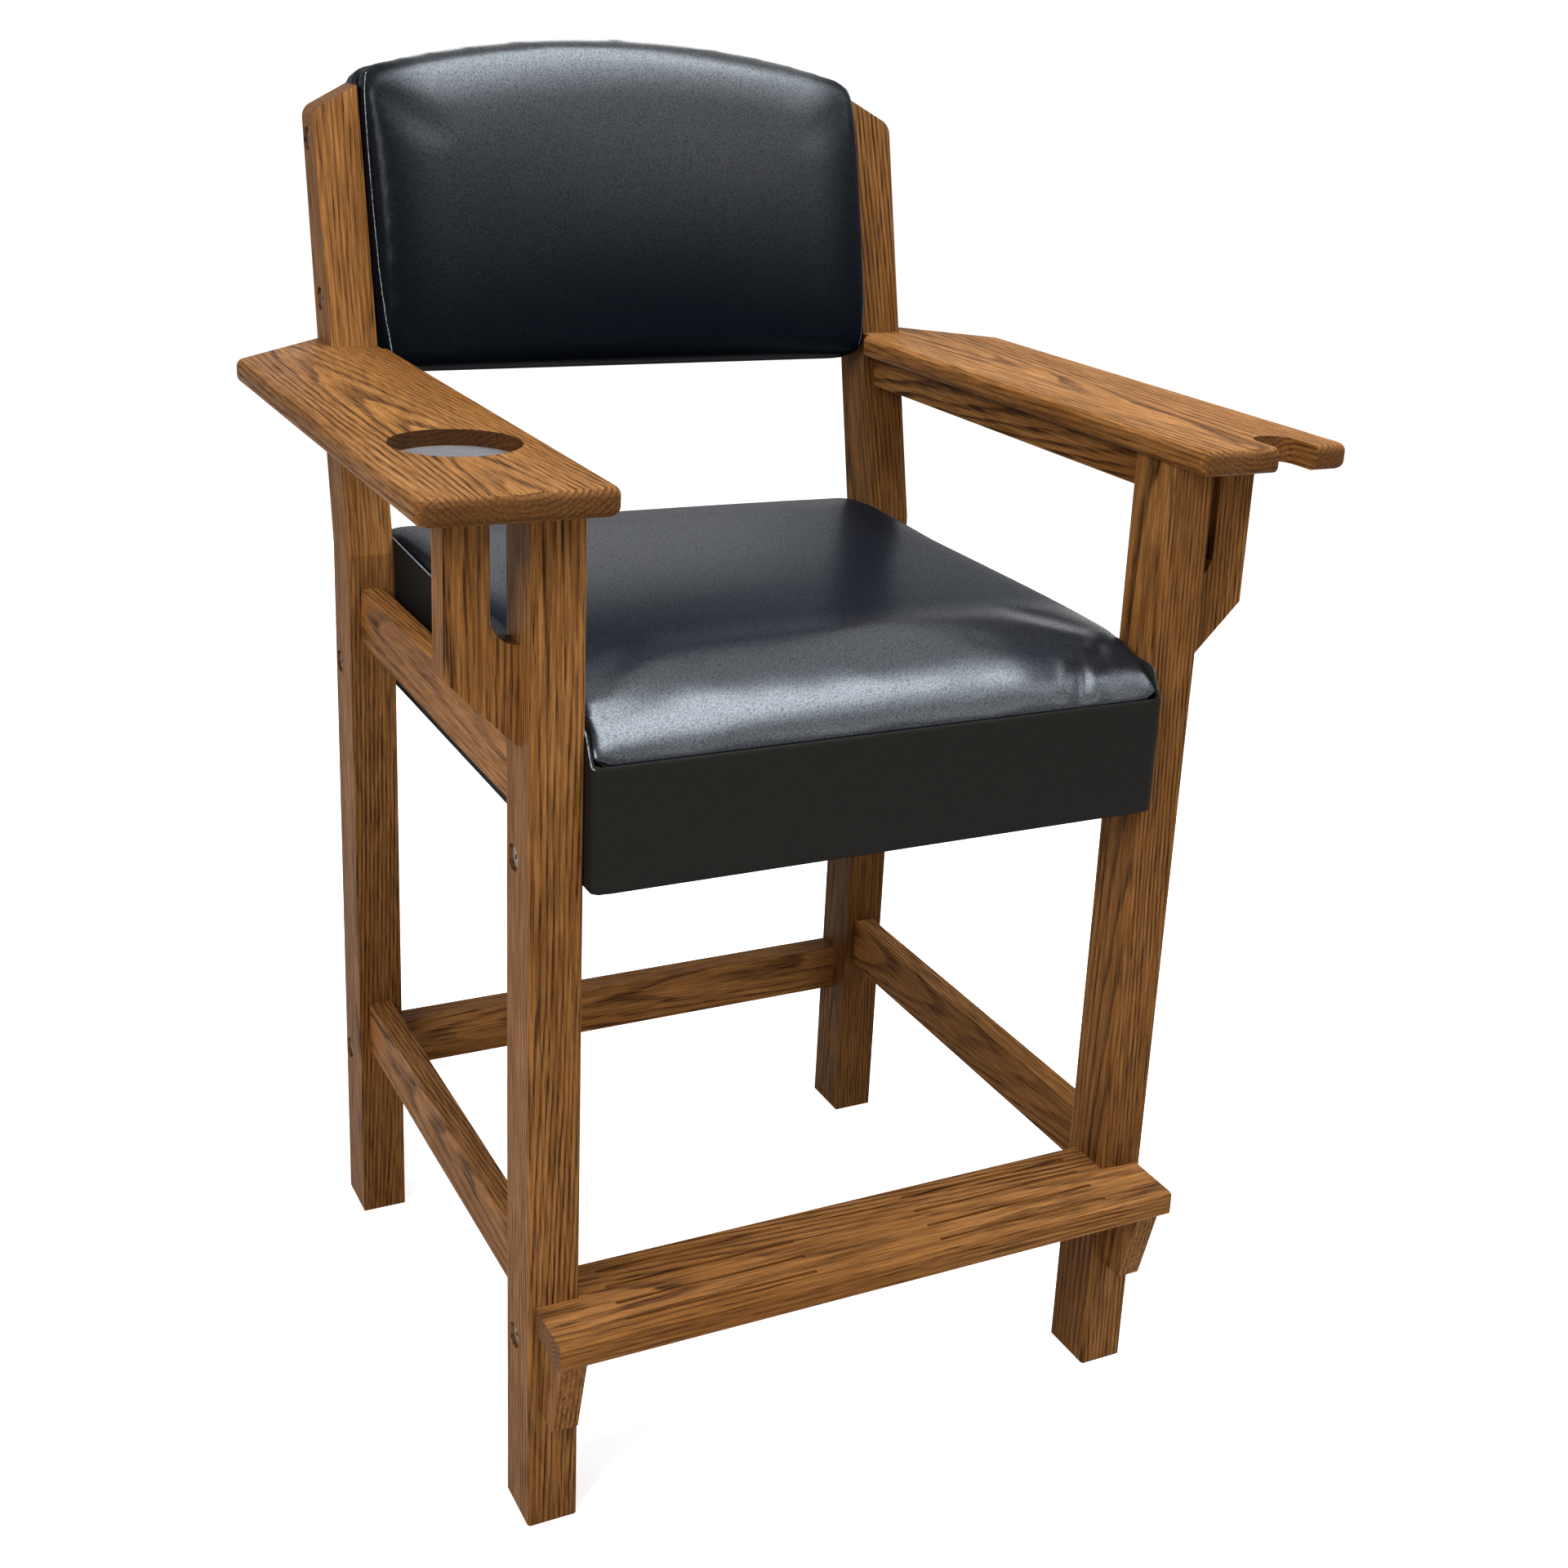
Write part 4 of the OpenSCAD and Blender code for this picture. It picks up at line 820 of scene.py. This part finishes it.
# %% Shape of the back pad before it swells
def pad_form(count=260):
    """Rings from the rear of the foam forward, in round the rolled edge by an angle a, then to the middle.

    Depth = -16 mm + R (1 - sin a), with R = 13 mm at the sides and 21 mm over the top. The face rises
    by 8 mm (1 - |x / X|^2.6) + 11 mm (1 - |u|^2.2), with u from -1 to 1 up the pad.
    """
    line = pad_outline(0.0, count)
    x, way = line.T
    arch = ARCH_HEART + np.sqrt(ARCH_R ** 2 - x ** 2)
    up = np.clip((way - PAD_LOW) / (arch - PAD_LOW), 0, 1)
    top = step(up, 0.90, 0.995)
    R = 0.013 + 0.008 * top

    def ring(a):
        side = 0.013 * (1 - np.cos(a))
        low, high = 0.014 * (1 - np.cos(a)), 0.023 * (1 - np.cos(a))
        w = way + low * (1 - up) - high * up
        return np.stack([x * (1 - side / PAD_X), -0.016 + R * (1 - np.sin(a)), w], -1)

    rear = [np.column_stack([x, np.full(count, d), way]) for d in (0.0177, 0.012)]
    sides = [ring(a) for a in np.linspace(0, np.pi / 2, 13)]
    middle = np.array([0, 0, PAD_LOW + 0.5 * (PAD_SIDE_TOP + 0.03 - PAD_LOW)])
    rim = sides[-1]

    def face(x, way):
        arch = ARCH_HEART + np.sqrt(ARCH_R ** 2 - x ** 2) - 0.023
        u = np.clip(2 * (way - PAD_LOW - 0.014) / (arch - PAD_LOW - 0.014) - 1, -1, 1)
        across = (0.008 * (1 - np.abs(x / (PAD_X - 0.013)) ** 2.6)).clip(0)
        return -0.016 - across - 0.011 * (1 - np.abs(u) ** 2.2)

    rim[:, 1] = face(rim[:, 0], rim[:, 2])
    for ring_made, a in zip(sides, np.linspace(0, np.pi / 2, 13)):
        ring_made[:, 1] += (rim[:, 1] + 0.016) * np.sin(a) ** 2 * (ring_made is not rim)
    domes = [np.stack([rim[:, 0] * s, face(rim[:, 0] * s, middle[2] + (rim[:, 2] - middle[2]) * s),
                       middle[2] + (rim[:, 2] - middle[2]) * s], -1) for s in np.linspace(0.965, 0.03, 28)]
    heart = middle + (0, face(0.0, middle[2]), 0)
    return lean(np.stack([*rear, *sides, *domes])), lean(middle + (0, 0.0177, 0)), lean(heart)


rings, rear_middle, face_middle = pad_form()
back_pad = closed_mesh("back_pad", rings, rear_middle, face_middle)


def pad_held(p):
    """1 behind the posts' front face, 0 from 9 mm in front of it, in steps of a tenth."""
    depth, way = upright_of(p)[:, 1], upright_of(p)[:, 2]
    begin = np.where(way > PAD_SIDE_TOP - 0.02, 0.008, -0.001)
    return np.round(step(depth, begin - 0.009, begin), 1)


swell(back_pad, pad_held)
back_pad.data.materials.clear()
back_pad.data.materials.append(back_vinyl)
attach(back_pad, BODY)
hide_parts("back_foam")
print("back pad:", len(back_pad.data.vertices), "points")

# %% [markdown]
# Behind the foam the cover goes on over the edge of the board and turns in round its rear. Its
# joint with the front panel is drawn tight, which leaves a groove. It shows at the pad's upper
# corners, above the sloped tops of the posts.

# %% The rear band of the back cover
def back_band_form(count=300):
    """A profile of depth against inset, carried round the pad's outline."""
    profile = np.array([(17.83, 11.0), (17.83, 6.0), (17.84, 3.4), (18.0, 2.1), (18.6, 1.3), (20.6, 0.4),
                        (23.0, 0.1), (28, 0), (34, 0), (40, 0), (45, 0.1), (48, 0.35), (50, 0.95), (51, 2.0),
                        (50.3, 2.9), (48, 3.1), (45, 3.1), (42.8, 3.1), (41.6, 2.15), (34, 2.15), (26, 2.15),
                        (18.4, 2.15), (17.95, 2.7), (17.95, 6.0), (17.95, 11.0)]) / 1000
    return lean(np.stack([np.insert(pad_outline(inset, count), 1, depth, axis=1)
                          for depth, inset in profile]))


back_band = smooth(wrapped_mesh("back_band", back_band_form()))
back_band.data.materials.append(back_vinyl)
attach(back_band, BODY)
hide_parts("back_cover")
print("back band:", len(back_band.data.vertices), "points")

# %% [markdown]
# The front panel of the back cover is sewn to its sides, and the seam shows as a thin line inside
# each side edge. It would be hard to guess where the swollen skin ends up, so the cord's path is
# first drawn on the plain slab and then each of its points is let down onto the skin.

# %% Seams at the sides of the back pad
def rest_on(made, path):
    """Moves each point of the path straight onto the plane of the nearest point of a piece's skin."""
    skin = points_of(made)
    normal = np.empty(skin.size)
    made.data.vertices.foreach_get("normal", normal)
    normal = normal.reshape(-1, 3)
    near = np.argmin(((path[:, None] - skin[None]) ** 2).sum(-1), axis=1)
    gap = ((skin[near] - path) * normal[near]).sum(-1, keepdims=True)
    return path + gap * normal[near]


for name, side in (("back_seam_left", -1), ("back_seam_right", 1)):
    t = np.linspace(0.03, 0.985, 80)
    path = lean(np.column_stack([side * (PAD_X - 0.010 + 0.008 * t), -0.014 + 0.005 * t,
                                 PAD_LOW + t * (PAD_SIDE_TOP - PAD_LOW)]))
    seam = tube(name, rest_on(back_pad, path), 0.0006)
    # Painted highlight on the left seam, painted shade on the right one.
    seam.data.materials.append(lit_seam_paint if side < 0 else shaded_seam_paint)
    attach(seam, BODY)
print("back seams are laid")

# %% [markdown]
# The room is a white studio sweep. The floor is pale and matt, and keeps the chair's soft shadow.
# The camera and every reflection see the white behind, while the light that the world throws on
# the chair is weaker, so that the colours stay as they were mixed.

# %% Floor, world and lamps
bpy.context.scene.view_settings.view_transform = "Standard"
bpy.ops.mesh.primitive_plane_add(size=60, location=(0, 0, -0.0005))
floor = bpy.context.object
floor.name = "studio_floor"
paper, shader, place = finish("pale paper floor")
from_camera, in_gloss, through_glass = (place.lay("ShaderNodeLightPath", {}, pick=k) for k in (0, 3, 6))
sight = from_camera.sign("MAXIMUM", from_camera.sign("MAXIMUM", from_camera, in_gloss), through_glass)
grain = place.cloud(3.0, 2.0)
bare = grain.tint((0.60, 0.60, 0.60), (0.66, 0.66, 0.66))
feed(shader, Base_Color=sight.tint(bare, (1.0, 1.0, 1.0)), Roughness=0.9 + grain * 0.05)
feed(shader, Emission_Color=sight.tint((0, 0, 0), (1.0, 1.0, 1.0)))
feed(shader, Emission_Strength=0.67, Specular_IOR_Level=0.0)
floor.data.materials.append(paper)

world = bpy.data.worlds.new("studio")
bpy.context.scene.world = world
world.use_nodes = True
back = world.node_tree.nodes["Background"]
rays = world.node_tree.nodes.new("ShaderNodeLightPath")
camera_ray, clear_ray, gloss_ray = (Run(world.node_tree, rays.outputs["Is " + kind + " Ray"])
                                    for kind in ("Camera", "Transmission", "Glossy"))
WORLD_LIGHT = 0.36
seen = camera_ray.sign("MAXIMUM", camera_ray.sign("MAXIMUM", camera_ray, clear_ray), gloss_ray)
world.node_tree.links.new(seen.sign("MAXIMUM", seen, WORLD_LIGHT).socket, back.inputs["Strength"])
back.inputs["Color"].default_value = (1, 1, 1, 1)


def lamp(name, spot, aim, size, power, colour=(1, 1, 1)):
    """A soft lamp at spot that shines at aim; its size is along the side and along the slope."""
    light = bpy.data.lights.new(name, "AREA")
    light.shape, light.energy, light.color = "RECTANGLE", power, colour
    light.size, light.size_y = size
    made = bpy.data.objects.new(name, light)
    made.location = spot
    made.rotation_euler = (Vector(aim) - Vector(spot)).to_track_quat("-Z", "Y").to_euler()
    bpy.context.collection.objects.link(made)
    return made


lamp("key", (-2.1, -1.5, 2.3), (0, 0, 0.6), (1.2, 1.2), 66)
lamp("overhead", (0.25, -0.5, 2.6), (0.1, -0.3, 0.75), (1.5, 1.4), 82, (0.82, 0.91, 1.0))
lamp("overhead right", (1.8, -0.5, 2.6), (1.2, -0.3, 0.75), (1.6, 1.4), 38, (0.82, 0.91, 1.0))
lamp("front fill", (1.5, -2.4, 2.6), (0, 0.1, 1.0), (1.2, 1.0), 9)
lamp("low back", (0.8, 2.8, 2.2), (-0.1, 0.2, 0.5), (1.2, 1.0), 10)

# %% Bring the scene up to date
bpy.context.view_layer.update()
